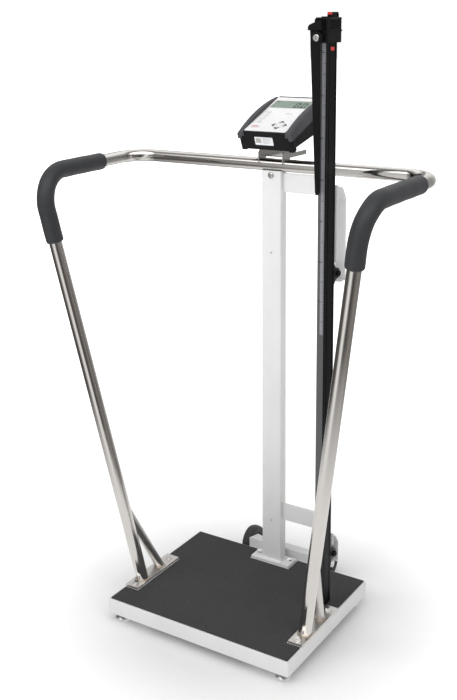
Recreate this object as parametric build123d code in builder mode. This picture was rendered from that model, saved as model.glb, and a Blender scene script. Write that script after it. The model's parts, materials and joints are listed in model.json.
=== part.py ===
from build123d import *
from math import atan, cos, radians, sin
import os

# Digital handrail platform scale with a mechanical height rod. Units are millimetres.
# Origin: on the floor, under the centre of the platform. +X to the right of a person reading the
# display, +Y to the column at the back, +Z up.

os.makedirs("parts", exist_ok=True)

# ---------------------------------------------------------------- driving dimensions
PLATFORM_W = 550.0
PLATFORM_D = 440.0
COVER_TOP = 63.5
SKIRT_BOTTOM = 24.0
SHEET = 2.5
MAT_THICK = 2.5
MAT_MARGIN = 5.0

FOOT_X = 246.0
FOOT_Y = 196.0
FOOT_STEM_R = 5.0
RUNNING_FIT = 0.05

COLUMN_W = 60.0
COLUMN_D = 31.0
COLUMN_Y = 190.0
COLUMN_WALL = 2.5
COLUMN_TOP = 1186.0
COLUMN_PLATE_THICK = 8.0
COLUMN_PLATE_HALF_W = 60.5
COLUMN_PLATE_FRONT = 163.0
COLUMN_PLATE_BACK = 212.0

RAIL_R = 16.85
RAIL_WALL = 1.8
RAIL_Z = 1200.0
RAIL_BACK = Vector(456.0, COLUMN_Y, RAIL_Z)
RAIL_FRONT = Vector(451.0, -223.0, RAIL_Z - 3.0)
RAIL_FOOT = Vector(254.0, -96.0, 69.5)
RAIL_FRONT_BEND = 85.0
RAIL_BACK_BEND = 75.0
GRIP_R = 23.0
GRIP_BORE = RAIL_R + 0.15
GRIP_REAR_Y = {"left": 35.0, "right": 78.0}
GRIP_LOW_Z = {"left": 1020.0, "right": 1055.0}
BRACE_R = 12.5
BRACE_TOP_Z = 287.0
BRACE_FOOT_Y = -15.0
RAIL_PLATE_IN = 233.0
RAIL_PLATE_OUT = 274.0
RAIL_PLATE_FRONT = -146.5
RAIL_PLATE_BACK = 49.0
RAIL_PLATE_THICK = 6.0
RAIL_BOLT_Y = (-132.0, 30.0)

BOLT_R = 4.0
BOLT_HEAD_AF = 13.0
BOLT_HEAD_H = 5.3
WASHER_R = 8.5
WASHER_H = 1.6
BOLT_CLEAR = 0.4

WHEEL_R = 46.0
WHEEL_Y = 281.0
WHEEL_Z = 47.0
WHEEL_IN = 107.0
WHEEL_W = 30.0
AXLE_R = 6.0
BRACKET_HALF_W = 100.0

ROD_X = 228.2
ROD_W = 20.2
ROD_FRONT = 20.2
ROD_D = 54.2
ROD_BOTTOM = 74.0
ROD_TOP = 1577.0
ROD_BACK = ROD_FRONT + ROD_D
TAPE_THICK = 0.3
INNER_W = 13.6
INNER_D = 38.0
INNER_FRONT = ROD_FRONT + 3.8
SLIDE_FIT = 0.4

HEAD_BOTTOM = 1521.0
HEAD_SPLIT = 1548.5
HEAD_TOP = 1575.0
ARM_PIVOT_X = 219.4
ARM_PIVOT_Z = 1533.0
ARM_ROOT_R = 15.0
ARM_TIP_Z = 1166.0
ARM_TIP_X0 = 219.6
ARM_TIP_X1 = 228.4
ARM_FRONT = 3.0
ARM_THICK = 9.0

OVERLAY_TILT = 21.7
OVERLAY_FRONT = Vector(0.0, 139.8, 1292.8)
OVERLAY_HALF_W = 61.3
OVERLAY_L = 195.0
OVERLAY_THICK = 0.8

LCD_HALF_W = 54.0
LCD_FROM = 134.0
LCD_TO = 174.0
ROUND_KEY_X = -42.0
ROUND_KEY_R = 6.8
ROUND_KEY_U = (50.0, 68.0, 86.0, 104.0)
POWER_KEY = (-40.0, 22.0)
NAV_KEY = (24.5, 37.0)
NAV_KEY_SIDE = 34.0
KEY_GAP = 0.4


def save(piece, name):
    """Label a finished sub-part and write it to its own STEP file."""
    piece.part.label = name
    export_step(piece.part, f"parts/{name}.step")


def side_sign(side):
    return -1.0 if side == "left" else 1.0


def on_side(point, side):
    return Vector(side_sign(side) * point.X, point.Y, point.Z)


def along(start, end, z):
    """The point of the straight line start-end at height z."""
    return start + (end - start) * ((z - start.Z) / (end.Z - start.Z))


# ---------------------------------------------------------------- platform
SHELL_UNDER = COVER_TOP - SHEET
WHEEL_WALL_BACK = PLATFORM_D / 2 + 4.0
WHEEL_BOLT_X = 60.0
WHEEL_BOLT_Z = 42.0
FRAME_BOTTOM = 48.0
CELL_TOP = 46.0
CELL_BOTTOM = 27.0
SIDE_RAIL_X = 254.0
CROSS_RAIL_Y = 191.0
FRAME_RAIL_W = 26.0

rail_bolt_spots = [(sx * RAIL_FOOT.X, y) for sx in (-1, 1) for y in RAIL_BOLT_Y]
column_bolt_spots = [(-49.0, 191.0), (49.0, 191.0)]
deck_bolt_spots = rail_bolt_spots + column_bolt_spots
foot_spots = {
    "front_left": (-FOOT_X, -FOOT_Y),
    "front_right": (FOOT_X, -FOOT_Y),
    "back_left": (-FOOT_X, FOOT_Y),
    "back_right": (FOOT_X, FOOT_Y),
}

# Pressed steel cover with a folded skirt.
with BuildPart() as platform_cover:
    with BuildSketch(Plane.XY.offset(SKIRT_BOTTOM)):
        RectangleRounded(PLATFORM_W, PLATFORM_D, 5)
    extrude(amount=COVER_TOP - SKIRT_BOTTOM)
    fillet(platform_cover.faces().sort_by(Axis.Z)[-1].edges(), radius=1.8)
    with BuildSketch(Plane.XY.offset(SKIRT_BOTTOM)):
        RectangleRounded(PLATFORM_W - 2 * SHEET, PLATFORM_D - 2 * SHEET, 3)
    extrude(amount=SHELL_UNDER - SKIRT_BOTTOM, mode=Mode.SUBTRACT)
    with Locations([(x, y, COVER_TOP) for x, y in deck_bolt_spots]):
        Hole(radius=BOLT_R + BOLT_CLEAR, depth=10)
    with Locations(Plane.XZ.offset(-PLATFORM_D / 2)):
        with Locations((-WHEEL_BOLT_X, WHEEL_BOLT_Z), (WHEEL_BOLT_X, WHEEL_BOLT_Z)):
            Hole(radius=BOLT_R + BOLT_CLEAR, depth=10)
save(platform_cover, "platform_cover")

# Welded channel frame under the cover.
RAIL_SPAN_Y = 2 * CROSS_RAIL_Y + FRAME_RAIL_W
RAIL_SPAN_X = 2 * SIDE_RAIL_X + FRAME_RAIL_W
with BuildPart() as base_frame:
    with BuildSketch(Plane.XY.offset(FRAME_BOTTOM)):
        with Locations((-SIDE_RAIL_X, 0), (SIDE_RAIL_X, 0)):
            Rectangle(FRAME_RAIL_W, RAIL_SPAN_Y)
        with Locations((0, -CROSS_RAIL_Y), (0, 0), (0, CROSS_RAIL_Y)):
            Rectangle(RAIL_SPAN_X, FRAME_RAIL_W)
    extrude(amount=SHELL_UNDER - FRAME_BOTTOM)
    with BuildSketch(Plane.XY.offset(FRAME_BOTTOM)):
        with Locations((-SIDE_RAIL_X, 0), (SIDE_RAIL_X, 0)):
            Rectangle(FRAME_RAIL_W - 2 * SHEET, RAIL_SPAN_Y - 2 * SHEET)
        with Locations((0, -CROSS_RAIL_Y), (0, 0), (0, CROSS_RAIL_Y)):
            Rectangle(RAIL_SPAN_X - 2 * SHEET, FRAME_RAIL_W - 2 * SHEET)
    extrude(amount=SHELL_UNDER - FRAME_BOTTOM - SHEET, mode=Mode.SUBTRACT)
    with Locations([(x, y, SHELL_UNDER) for x, y in deck_bolt_spots]):
        Hole(radius=BOLT_R + BOLT_CLEAR, depth=10)
save(base_frame, "base_frame")

# Bending-beam load cells, one above each foot, with a spacer up to the frame.
CELL_L = 110.0
CELL_W = 24.0
with BuildPart() as load_cells:
    for x, y in foot_spots.values():
        inward = -1 if x > 0 else 1
        centre_x = x + inward * (CELL_L / 2 - 14)
        with Locations((centre_x, y, CELL_BOTTOM)):
            Box(CELL_L, CELL_W, CELL_TOP - CELL_BOTTOM, align=(Align.CENTER, Align.CENTER, Align.MIN))
        with Locations((centre_x + inward * 36, y, CELL_TOP)):
            Box(30, CELL_W, FRAME_BOTTOM - CELL_TOP, align=(Align.CENTER, Align.CENTER, Align.MIN))
        with Locations((x, y, CELL_BOTTOM)):
            Cylinder(radius=FOOT_STEM_R + RUNNING_FIT, height=60, mode=Mode.SUBTRACT)
        with BuildSketch(Plane.XZ.offset(-y - CELL_W)):
            with Locations((centre_x - 8, 36.5), (centre_x + 8, 36.5)):
                Circle(6.5)
        extrude(amount=2 * CELL_W, mode=Mode.SUBTRACT)
save(load_cells, "load_cells")

# Levelling feet: rubber-faced pad, flange nut and stem in one turned piece.
for corner, (x, y) in foot_spots.items():
    with BuildPart() as foot:
        with BuildSketch(Plane.XZ.offset(-y)):
            with BuildLine():
                Polyline(
                    (x, 0), (x + 17, 0), (x + 19, 2), (x + 19, 8), (x + 13, 13), (x + 8, 13),
                    (x + 8, 20), (x + FOOT_STEM_R, 20), (x + FOOT_STEM_R, 44), (x, 44), close=True,
                )
            make_face()
        revolve(axis=Axis((x, y, 0), (0, 0, 1)))
    save(foot, f"foot_{corner}")

# Summing box for the four load cells.
with BuildPart() as junction_box:
    with Locations((0, 80, 30)):
        Box(96, 62, 16, align=(Align.CENTER, Align.CENTER, Align.MIN))
    fillet(junction_box.edges().filter_by(Axis.Z), radius=4)
    with Locations((0, 80, 46)):
        Box(80, 46, FRAME_BOTTOM + 13 - 46, align=(Align.CENTER, Align.CENTER, Align.MIN))
    with Locations(Plane.XZ.offset(-49)):
        with Locations((-30, 38), (-10, 38), (10, 38), (30, 38)):
            Cylinder(radius=5, height=16)
save(junction_box, "junction_box")

# Ribbed rubber mat, notched around the rail plates and the column plate.
MAT_GAP = 3.0
MAT_BACK = PLATFORM_D / 2 - MAT_MARGIN
with BuildPart() as platform_mat:
    with BuildSketch(Plane.XY.offset(COVER_TOP)):
        RectangleRounded(PLATFORM_W - 2 * MAT_MARGIN, PLATFORM_D - 2 * MAT_MARGIN, 3)
        plate_mid_y = (RAIL_PLATE_FRONT + RAIL_PLATE_BACK) / 2
        plate_len = RAIL_PLATE_BACK - RAIL_PLATE_FRONT + 2 * MAT_GAP
        plate_w = PLATFORM_W / 2 - RAIL_PLATE_IN + MAT_GAP
        notch_x = RAIL_PLATE_IN - MAT_GAP + plate_w / 2
        with Locations((-notch_x, plate_mid_y), (notch_x, plate_mid_y)):
            Rectangle(plate_w, plate_len, mode=Mode.SUBTRACT)
        column_notch = MAT_BACK - COLUMN_PLATE_FRONT + MAT_GAP
        with Locations((0, COLUMN_PLATE_FRONT - MAT_GAP + column_notch / 2)):
            Rectangle(2 * (COLUMN_PLATE_HALF_W + MAT_GAP), column_notch, mode=Mode.SUBTRACT)
    extrude(amount=MAT_THICK)
save(platform_mat, "platform_mat")

# ---------------------------------------------------------------- column
PLATE_TOP = COVER_TOP + COLUMN_PLATE_THICK
SCREW_Z = 1174.0
COLUMN_FRONT = COLUMN_Y - COLUMN_D / 2
SMALL_HOLE_Z = (192.5, 965.5)

with BuildPart() as column:
    plate_mid = (COLUMN_PLATE_FRONT + COLUMN_PLATE_BACK) / 2
    with BuildSketch(Plane.XY.offset(COVER_TOP)):
        with Locations((0, plate_mid)):
            RectangleRounded(2 * COLUMN_PLATE_HALF_W, COLUMN_PLATE_BACK - COLUMN_PLATE_FRONT, 2)
    extrude(amount=COLUMN_PLATE_THICK)
    with BuildSketch(Plane.XY.offset(PLATE_TOP)):
        with Locations((0, COLUMN_Y)):
            RectangleRounded(COLUMN_W, COLUMN_D, 4)
    extrude(amount=COLUMN_TOP - PLATE_TOP)
    with BuildSketch(Plane.XY.offset(PLATE_TOP)):
        with Locations((0, COLUMN_Y)):
            RectangleRounded(COLUMN_W + 7, COLUMN_D + 7, 6)
    extrude(amount=3.5, taper=44)
    with BuildSketch(Plane.XY.offset(PLATE_TOP)):
        with Locations((0, COLUMN_Y)):
            RectangleRounded(COLUMN_W - 2 * COLUMN_WALL, COLUMN_D - 2 * COLUMN_WALL, 2)
    extrude(amount=COLUMN_TOP - PLATE_TOP, mode=Mode.SUBTRACT)
    with Locations([(x, y, PLATE_TOP) for x, y in column_bolt_spots]):
        Hole(radius=BOLT_R + BOLT_CLEAR, depth=20)
    with Locations(Plane.XZ.offset(-COLUMN_FRONT)):
        with Locations([(0, z) for z in SMALL_HOLE_Z]):
            Hole(radius=2.2, depth=6)
        with Locations((0, SCREW_Z)):
            Hole(radius=4.3, depth=6)
    with Locations(Plane.YZ):
        with Locations((COLUMN_Y, RAIL_Z)):
            Cylinder(radius=RAIL_R + 0.1, height=90, mode=Mode.SUBTRACT)
save(column, "column")

# Steel block in the column's top, welded under the rail.
with BuildPart() as rail_spigot:
    with Locations((0, COLUMN_Y, 1148)):
        Box(54, COLUMN_D - 2 * COLUMN_WALL - 0.6, 46, align=(Align.CENTER, Align.CENTER, Align.MIN))
    fillet(rail_spigot.edges().filter_by(Axis.Z), radius=2.5)
    with Locations(Plane.YZ):
        with Locations((COLUMN_Y, RAIL_Z)):
            Cylinder(radius=RAIL_R + 0.02, height=90, mode=Mode.SUBTRACT)
    with Locations(Plane.XZ.offset(-COLUMN_FRONT)):
        with Locations((0, SCREW_Z)):
            Hole(radius=4.05, depth=24)
save(rail_spigot, "rail_spigot")

# Button-head screw through the column's front wall into the spigot.
SCREW_PLANE = Plane((0, COLUMN_FRONT, SCREW_Z), (1, 0, 0), (0, -1, 0))
with BuildPart() as column_screw:
    with BuildSketch(SCREW_PLANE):
        Circle(8.5)
    extrude(amount=5)
    fillet(column_screw.edges().sort_by(Axis.Y)[0], radius=3.6)
    with BuildSketch(SCREW_PLANE):
        Circle(4.0)
    extrude(amount=-20)
    with BuildSketch(SCREW_PLANE.offset(5)):
        RegularPolygon(radius=2.8, side_count=6)
    extrude(amount=-3, mode=Mode.SUBTRACT)
save(column_screw, "column_screw")


# ---------------------------------------------------------------- fasteners on the platform
def hex_bolt(plane, length):
    """Hex bolt with its washer lying on the plane and its shank running against the plane's normal."""
    with BuildPart() as bolt:
        with BuildSketch(plane):
            Circle(WASHER_R)
        extrude(amount=WASHER_H)
        with BuildSketch(plane.offset(WASHER_H)):
            RegularPolygon(radius=BOLT_HEAD_AF / 2, side_count=6, major_radius=False)
        extrude(amount=BOLT_HEAD_H)
        with BuildSketch(plane):
            Circle(BOLT_R)
        extrude(amount=-length)
    return bolt.part


RAIL_PLATE_TOP = COVER_TOP + RAIL_PLATE_THICK
bolts = [hex_bolt(Plane((x, y, RAIL_PLATE_TOP)), 18) for x, y in rail_bolt_spots]
bolts += [hex_bolt(Plane((x, y, PLATE_TOP)), 20) for x, y in column_bolt_spots]
for x in (-WHEEL_BOLT_X, WHEEL_BOLT_X):
    bolts.append(hex_bolt(Plane((x, WHEEL_WALL_BACK, WHEEL_BOLT_Z), (-1, 0, 0), (0, 1, 0)), 14))
with BuildPart() as base_bolts:
    add(bolts)
save(base_bolts, "base_bolts")

# ---------------------------------------------------------------- handrail
below_left = along(on_side(RAIL_FRONT, "left"), on_side(RAIL_FOOT, "left"), 40)
below_right = along(RAIL_FRONT, RAIL_FOOT, 40)
rail_points = [
    below_left,
    on_side(RAIL_FRONT, "left"),
    on_side(RAIL_BACK, "left"),
    RAIL_BACK,
    RAIL_FRONT,
    below_right,
]
rail_bends = [RAIL_FRONT_BEND, RAIL_BACK_BEND, RAIL_BACK_BEND, RAIL_FRONT_BEND]


def round_bar(points, bends, radius, bore=0.0):
    """Round bar or tube swept along a bent centre line."""
    with BuildPart() as bar:
        with BuildLine() as route:
            if len(points) > 2:
                FilletPolyline(*points, radius=bends)
            else:
                Line(*points)
        with BuildSketch(Plane(route.line @ 0, z_dir=route.line % 0)):
            Circle(radius)
            if bore:
                Circle(bore, mode=Mode.SUBTRACT)
        sweep(path=route.line)
    return bar.part


# One bent stainless tube: two legs, two side rails and the back bar.
rail_tube = round_bar(rail_points, rail_bends, RAIL_R, RAIL_R - RAIL_WALL)
with BuildPart() as handrail:
    add(rail_tube)
    split(bisect_by=Plane.XY.offset(RAIL_PLATE_TOP), keep=Keep.TOP)
save(handrail, "handrail")

# Foot plate and diagonal brace, welded to the leg.
for side in ("left", "right"):
    sign = side_sign(side)
    brace_top = on_side(along(RAIL_FRONT, RAIL_FOOT, BRACE_TOP_Z), side)
    plate_point = Vector(sign * RAIL_FOOT.X, BRACE_FOOT_Y, RAIL_PLATE_TOP)
    brace_low = plate_point + (plate_point - brace_top).normalized() * 30
    leg_line = [on_side(below_right, side), on_side(along(RAIL_FRONT, RAIL_FOOT, 600), side)]
    brace_tube = round_bar([brace_low, brace_top], [], BRACE_R, BRACE_R - 1.8)
    leg_bar = round_bar(leg_line, [], RAIL_R + 0.05)
    with BuildPart() as rail_foot:
        add(brace_tube)
        split(bisect_by=Plane.XY.offset(RAIL_PLATE_TOP), keep=Keep.TOP)
        add(leg_bar, mode=Mode.SUBTRACT)
        brace_only = rail_foot.solids().sort_by(SortBy.VOLUME)[-1]
        add(brace_only, mode=Mode.REPLACE)
        with BuildSketch(Plane.XY.offset(COVER_TOP)):
            with Locations((sign * (RAIL_PLATE_IN + RAIL_PLATE_OUT) / 2, plate_mid_y)):
                RectangleRounded(RAIL_PLATE_OUT - RAIL_PLATE_IN, RAIL_PLATE_BACK - RAIL_PLATE_FRONT, 2)
        extrude(amount=RAIL_PLATE_THICK)
        with Locations([(sign * RAIL_FOOT.X, y, RAIL_PLATE_TOP) for y in RAIL_BOLT_Y]):
            Hole(radius=BOLT_R + BOLT_CLEAR, depth=10)
    save(rail_foot, f"rail_foot_{side}")

# Foam grips over the front bends.
for side in ("left", "right"):
    rear_y = GRIP_REAR_Y[side]
    share = (rear_y - RAIL_FRONT.Y) / (RAIL_BACK.Y - RAIL_FRONT.Y)
    grip_rear = on_side(RAIL_FRONT + (RAIL_BACK - RAIL_FRONT) * share, side)
    grip_low = on_side(along(RAIL_FRONT, RAIL_FOOT, GRIP_LOW_Z[side]), side)
    grip_points = [grip_rear, on_side(RAIL_FRONT, side), grip_low]
    foam = round_bar(grip_points, [RAIL_FRONT_BEND], GRIP_R, GRIP_BORE)
    with BuildPart() as grip:
        add(foam)
    save(grip, f"grip_{side}")

# ---------------------------------------------------------------- transport wheels
EAR_THICK = 5.0
BRACKET_FRONT = PLATFORM_D / 2 + 0.5
with BuildPart() as wheel_bracket:
    with BuildSketch(Plane.YZ.offset(-BRACKET_HALF_W)):
        with BuildLine():
            Polyline((BRACKET_FRONT, 30), (BRACKET_FRONT, 90), (270, 80), (298, 54))
            ThreePointArc((298, 54), (287, 29), (270, 30))
            Line((270, 30), (BRACKET_FRONT, 30))
        make_face()
    extrude(amount=2 * BRACKET_HALF_W)
    inner_w = 2 * (BRACKET_HALF_W - EAR_THICK)
    with BuildSketch(Plane.YZ.offset(-inner_w / 2)):
        with BuildLine():
            Polyline(
                (WHEEL_WALL_BACK, 20), (WHEEL_WALL_BACK, 86), (262, 78.5), (262, 120), (310, 120), (310, 20),
                close=True,
            )
        make_face()
    extrude(amount=inner_w, mode=Mode.SUBTRACT)
    with Locations(Plane.YZ):
        with Locations((WHEEL_Y, WHEEL_Z)):
            Cylinder(radius=AXLE_R + 0.1, height=2 * BRACKET_HALF_W + 10, mode=Mode.SUBTRACT)
    with Locations(Plane((0, WHEEL_WALL_BACK, WHEEL_BOLT_Z), (-1, 0, 0), (0, 1, 0))):
        with Locations((-WHEEL_BOLT_X, 0), (WHEEL_BOLT_X, 0)):
            Hole(radius=BOLT_R + BOLT_CLEAR, depth=8)
save(wheel_bracket, "wheel_bracket")

# Axle with a retaining collar and a domed nut at each end.
WHEEL_OUT = WHEEL_IN + WHEEL_W
with BuildPart() as wheel_axle:
    axle_plane = Plane.YZ
    with Locations(axle_plane):
        with Locations((WHEEL_Y, WHEEL_Z)):
            Cylinder(radius=AXLE_R, height=2 * (WHEEL_OUT + 1))
    for end in (-1, 1):
        with BuildSketch(Plane.YZ.offset(end * (WHEEL_OUT + 1))):
            with Locations((WHEEL_Y, WHEEL_Z)):
                Circle(11)
        extrude(amount=end * 4, taper=15)
        with BuildSketch(Plane.YZ.offset(end * (BRACKET_HALF_W + 0.5))):
            with Locations((WHEEL_Y, WHEEL_Z)):
                Circle(9)
        extrude(amount=end * 5.5)
save(wheel_axle, "wheel_axle")

HUB_R = 33.0
for side in ("left", "right"):
    sign = side_sign(side)
    mid_x = sign * (WHEEL_IN + WHEEL_W / 2)
    with BuildPart() as hub:
        with BuildSketch(Plane.XY.offset(WHEEL_Z)):
            with BuildLine():
                Polyline(
                    (mid_x - 14.5, WHEEL_Y + AXLE_R + RUNNING_FIT),
                    (mid_x + 14.5, WHEEL_Y + AXLE_R + RUNNING_FIT),
                    (mid_x + 14.5, WHEEL_Y + 12),
                    (mid_x + 5, WHEEL_Y + 14),
                    (mid_x + 5, WHEEL_Y + 26),
                    (mid_x + 12, WHEEL_Y + 28),
                    (mid_x + 12, WHEEL_Y + HUB_R),
                    (mid_x - 12, WHEEL_Y + HUB_R),
                    (mid_x - 12, WHEEL_Y + 28),
                    (mid_x - 5, WHEEL_Y + 26),
                    (mid_x - 5, WHEEL_Y + 14),
                    (mid_x - 14.5, WHEEL_Y + 12),
                    close=True,
                )
            make_face()
        revolve(axis=Axis((0, WHEEL_Y, WHEEL_Z), (1, 0, 0)))
        with Locations(Plane.YZ.offset(mid_x)):
            with Locations((WHEEL_Y, WHEEL_Z)):
                with PolarLocations(20, 6):
                    Cylinder(radius=4.2, height=40, mode=Mode.SUBTRACT)
    save(hub, f"wheel_hub_{side}")
    with BuildPart() as tyre:
        with BuildSketch(Plane.XY.offset(WHEEL_Z)):
            with BuildLine():
                Line((mid_x - 12, WHEEL_Y + HUB_R), (mid_x + 12, WHEEL_Y + HUB_R))
                Line((mid_x + 12, WHEEL_Y + HUB_R), (mid_x + WHEEL_W / 2, WHEEL_Y + HUB_R + 3))
                Line(
                    (mid_x + WHEEL_W / 2, WHEEL_Y + HUB_R + 3),
                    (mid_x + WHEEL_W / 2, WHEEL_Y + WHEEL_R - 4),
                )
                ThreePointArc(
                    (mid_x + WHEEL_W / 2, WHEEL_Y + WHEEL_R - 4),
                    (mid_x, WHEEL_Y + WHEEL_R),
                    (mid_x - WHEEL_W / 2, WHEEL_Y + WHEEL_R - 4),
                )
                Line(
                    (mid_x - WHEEL_W / 2, WHEEL_Y + WHEEL_R - 4),
                    (mid_x - WHEEL_W / 2, WHEEL_Y + HUB_R + 3),
                )
                Line((mid_x - WHEEL_W / 2, WHEEL_Y + HUB_R + 3), (mid_x - 12, WHEEL_Y + HUB_R))
            make_face()
        revolve(axis=Axis((0, WHEEL_Y, WHEEL_Z), (1, 0, 0)))
    save(tyre, f"wheel_tyre_{side}")

# ---------------------------------------------------------------- indicator
# Local directions of the tilted indicator: x across, u up its face, n out of its face.
tilt = radians(OVERLAY_TILT)
FACE = Plane(OVERLAY_FRONT, (1, 0, 0), (0, -sin(tilt), cos(tilt)))
SIDE = Plane(OVERLAY_FRONT, (0, cos(tilt), sin(tilt)), (1, 0, 0))

CASE_U0 = -5.0
CASE_U1 = 203.0
CASE_SPLIT = -14.0
CASE_WALL = 2.5
BASE_HALF_W = 70.0
COVER_HALF_W = 61.8
BUMPER_OUT = 81.0
SKIN_TOP = -0.9
SKIN_BOTTOM = -3.2
UNDER_FRONT = -51.5
UNDER_BREAK = (120.0, -70.0)
UNDER_BACK = -50.0
under_slope = (UNDER_BREAK[1] - UNDER_FRONT) / (UNDER_BREAK[0] - CASE_U0)


def under(u):
    """Height n of the case's underside at u, ahead of its break."""
    return UNDER_FRONT + (u - CASE_U0) * under_slope


def key_outline(gap):
    """Outlines of every key, grown by a gap, drawn in the current face sketch."""
    with Locations(POWER_KEY):
        SlotOverall(24 + 2 * gap, 13 + 2 * gap)
    with Locations([(ROUND_KEY_X, u) for u in ROUND_KEY_U]):
        Circle(ROUND_KEY_R + gap)
    with Locations(NAV_KEY):
        with Locations(Location((0, 0, 0), (0, 0, 45))):
            RectangleRounded(NAV_KEY_SIDE + 2 * gap, NAV_KEY_SIDE + 2 * gap, 3)


with BuildSketch() as key_holes:
    key_outline(KEY_GAP)

case_profile = [
    (CASE_U0, CASE_SPLIT), (CASE_U1, CASE_SPLIT), (CASE_U1, UNDER_BACK), UNDER_BREAK, (CASE_U0, UNDER_FRONT),
]

# Lower case: tub with corner pillars.
with BuildPart() as housing_base:
    with BuildSketch(SIDE.offset(-BASE_HALF_W)):
        Polygon(*case_profile, align=None)
    extrude(amount=2 * BASE_HALF_W)
    for sign in (-1, 1):
        for u0 in (CASE_U0 + 1, CASE_U1 - 19):
            with BuildSketch(FACE.offset(-22.2)):
                with Locations((sign * 70.5, u0 + 9)):
                    RectangleRounded(17, 18, 5)
            extrude(amount=UNDER_FRONT - 4 + 22.2)
    inner_half = BASE_HALF_W - CASE_WALL
    with BuildSketch(SIDE.offset(-inner_half)):
        Polygon(*case_profile, align=None)
        offset(amount=-CASE_WALL, kind=Kind.INTERSECTION)
        with BuildLine():
            Polyline(
                (CASE_U0 + CASE_WALL, CASE_SPLIT), (CASE_U1 - CASE_WALL, CASE_SPLIT),
                (CASE_U1 - CASE_WALL, CASE_SPLIT - 8), (CASE_U0 + CASE_WALL, CASE_SPLIT - 8), close=True,
            )
        make_face()
    extrude(amount=2 * inner_half, mode=Mode.SUBTRACT)

# Upper case frame: walls and a skin pierced for the display and the keys.
with BuildPart() as housing_cover:
    with BuildSketch(SIDE.offset(-COVER_HALF_W)):
        with BuildLine():
            Polyline((CASE_U0, CASE_SPLIT), (CASE_U1, CASE_SPLIT), (CASE_U1, SKIN_TOP), (-1, SKIN_TOP))
            ThreePointArc((-1, SKIN_TOP), (CASE_U0 + 1.2, SKIN_TOP - 1.6), (CASE_U0, SKIN_TOP - 5))
            Line((CASE_U0, SKIN_TOP - 5), (CASE_U0, CASE_SPLIT))
        make_face()
    extrude(amount=2 * COVER_HALF_W)
    with BuildSketch(SIDE.offset(-COVER_HALF_W + CASE_WALL)):
        Polygon(
            (CASE_U0 + CASE_WALL, CASE_SPLIT), (CASE_U1 - CASE_WALL, CASE_SPLIT),
            (CASE_U1 - CASE_WALL, SKIN_BOTTOM), (CASE_U0 + CASE_WALL, SKIN_BOTTOM), align=None,
        )
    extrude(amount=2 * (COVER_HALF_W - CASE_WALL), mode=Mode.SUBTRACT)
    with BuildSketch(FACE.offset(SKIN_BOTTOM)):
        add(key_holes.sketch)
        with Locations((0, (LCD_FROM + LCD_TO) / 2)):
            Rectangle(2 * LCD_HALF_W, LCD_TO - LCD_FROM)
    extrude(amount=5, mode=Mode.SUBTRACT)
save(housing_cover, "housing_cover")

# Soft side bumpers with a crowned top edge.
for side in ("left", "right"):
    sign = side_sign(side)
    inner_x = COVER_HALF_W + 0.1
    with BuildPart() as bumper:
        with BuildSketch(SIDE.offset(sign * inner_x)):
            with BuildLine():
                Line((CASE_U0 - 1, CASE_SPLIT + 0.1), (CASE_U0 - 1, -2))
                ThreePointArc((CASE_U0 - 1, -2), (99, 9), (CASE_U1, -3))
                Line((CASE_U1, -3), (CASE_U1, CASE_SPLIT + 0.1))
                Line((CASE_U1, CASE_SPLIT + 0.1), (CASE_U0 - 1, CASE_SPLIT + 0.1))
            make_face()
        extrude(amount=sign * (BUMPER_OUT - inner_x))
        outer_top = bumper.edges().group_by(Axis.X)[-1 if sign > 0 else 0].sort_by(SortBy.LENGTH)[-1]
        inner_top = bumper.edges().group_by(Axis.X)[0 if sign > 0 else -1].sort_by(SortBy.LENGTH)[-1]
        fillet(outer_top, radius=9)
        fillet(inner_top, radius=2.5)
        with BuildSketch(SIDE.offset(sign * (BASE_HALF_W + 0.2))):
            Polygon(
                (CASE_U0 - 1, CASE_SPLIT + 1), (CASE_U1, CASE_SPLIT + 1),
                (CASE_U1, CASE_SPLIT - 8), (CASE_U0 - 1, CASE_SPLIT - 8), align=None,
            )
        extrude(amount=sign * (BUMPER_OUT - BASE_HALF_W - 0.2))
    save(bumper, f"bumper_{side}")

# Printed membrane overlay with the display and key openings.
with BuildPart() as overlay:
    with BuildSketch(FACE.offset(-OVERLAY_THICK)):
        with Locations((0, OVERLAY_L / 2)):
            RectangleRounded(2 * OVERLAY_HALF_W, OVERLAY_L, 2)
        add(key_holes.sketch, mode=Mode.SUBTRACT)
        with Locations((0, (LCD_FROM + LCD_TO) / 2)):
            Rectangle(2 * LCD_HALF_W, LCD_TO - LCD_FROM, mode=Mode.SUBTRACT)
    extrude(amount=OVERLAY_THICK)
save(overlay, "overlay")

LCD_MID = (LCD_FROM + LCD_TO) / 2
LCD_LEN = LCD_TO - LCD_FROM
with BuildPart() as lcd_window:
    with BuildSketch(FACE.offset(-0.75)):
        with Locations((0, LCD_MID)):
            Rectangle(2 * LCD_HALF_W - 0.2, LCD_LEN - 0.2)
    extrude(amount=0.65)
save(lcd_window, "lcd_window")

with BuildPart() as lcd_module:
    with BuildSketch(FACE.offset(-9)):
        with Locations((0, LCD_MID)):
            Rectangle(2 * LCD_HALF_W + 6, LCD_LEN + 8)
    extrude(amount=5.6)
    with BuildSketch(FACE.offset(-4)):
        with Locations((0, LCD_MID)):
            Rectangle(2 * LCD_HALF_W - 0.6, LCD_LEN - 0.6)
    extrude(amount=3.0)
save(lcd_module, "lcd_module")

# Keys: caps that stand proud of the overlay and press down onto the board's domes.
KEY_TOP = 0.5
KEY_BOTTOM = -3.4


def save_key(name, outline):
    with BuildPart() as key:
        with BuildSketch(FACE.offset(KEY_BOTTOM)):
            add(outline)
        extrude(amount=KEY_TOP - KEY_BOTTOM)
    save(key, name)


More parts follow.
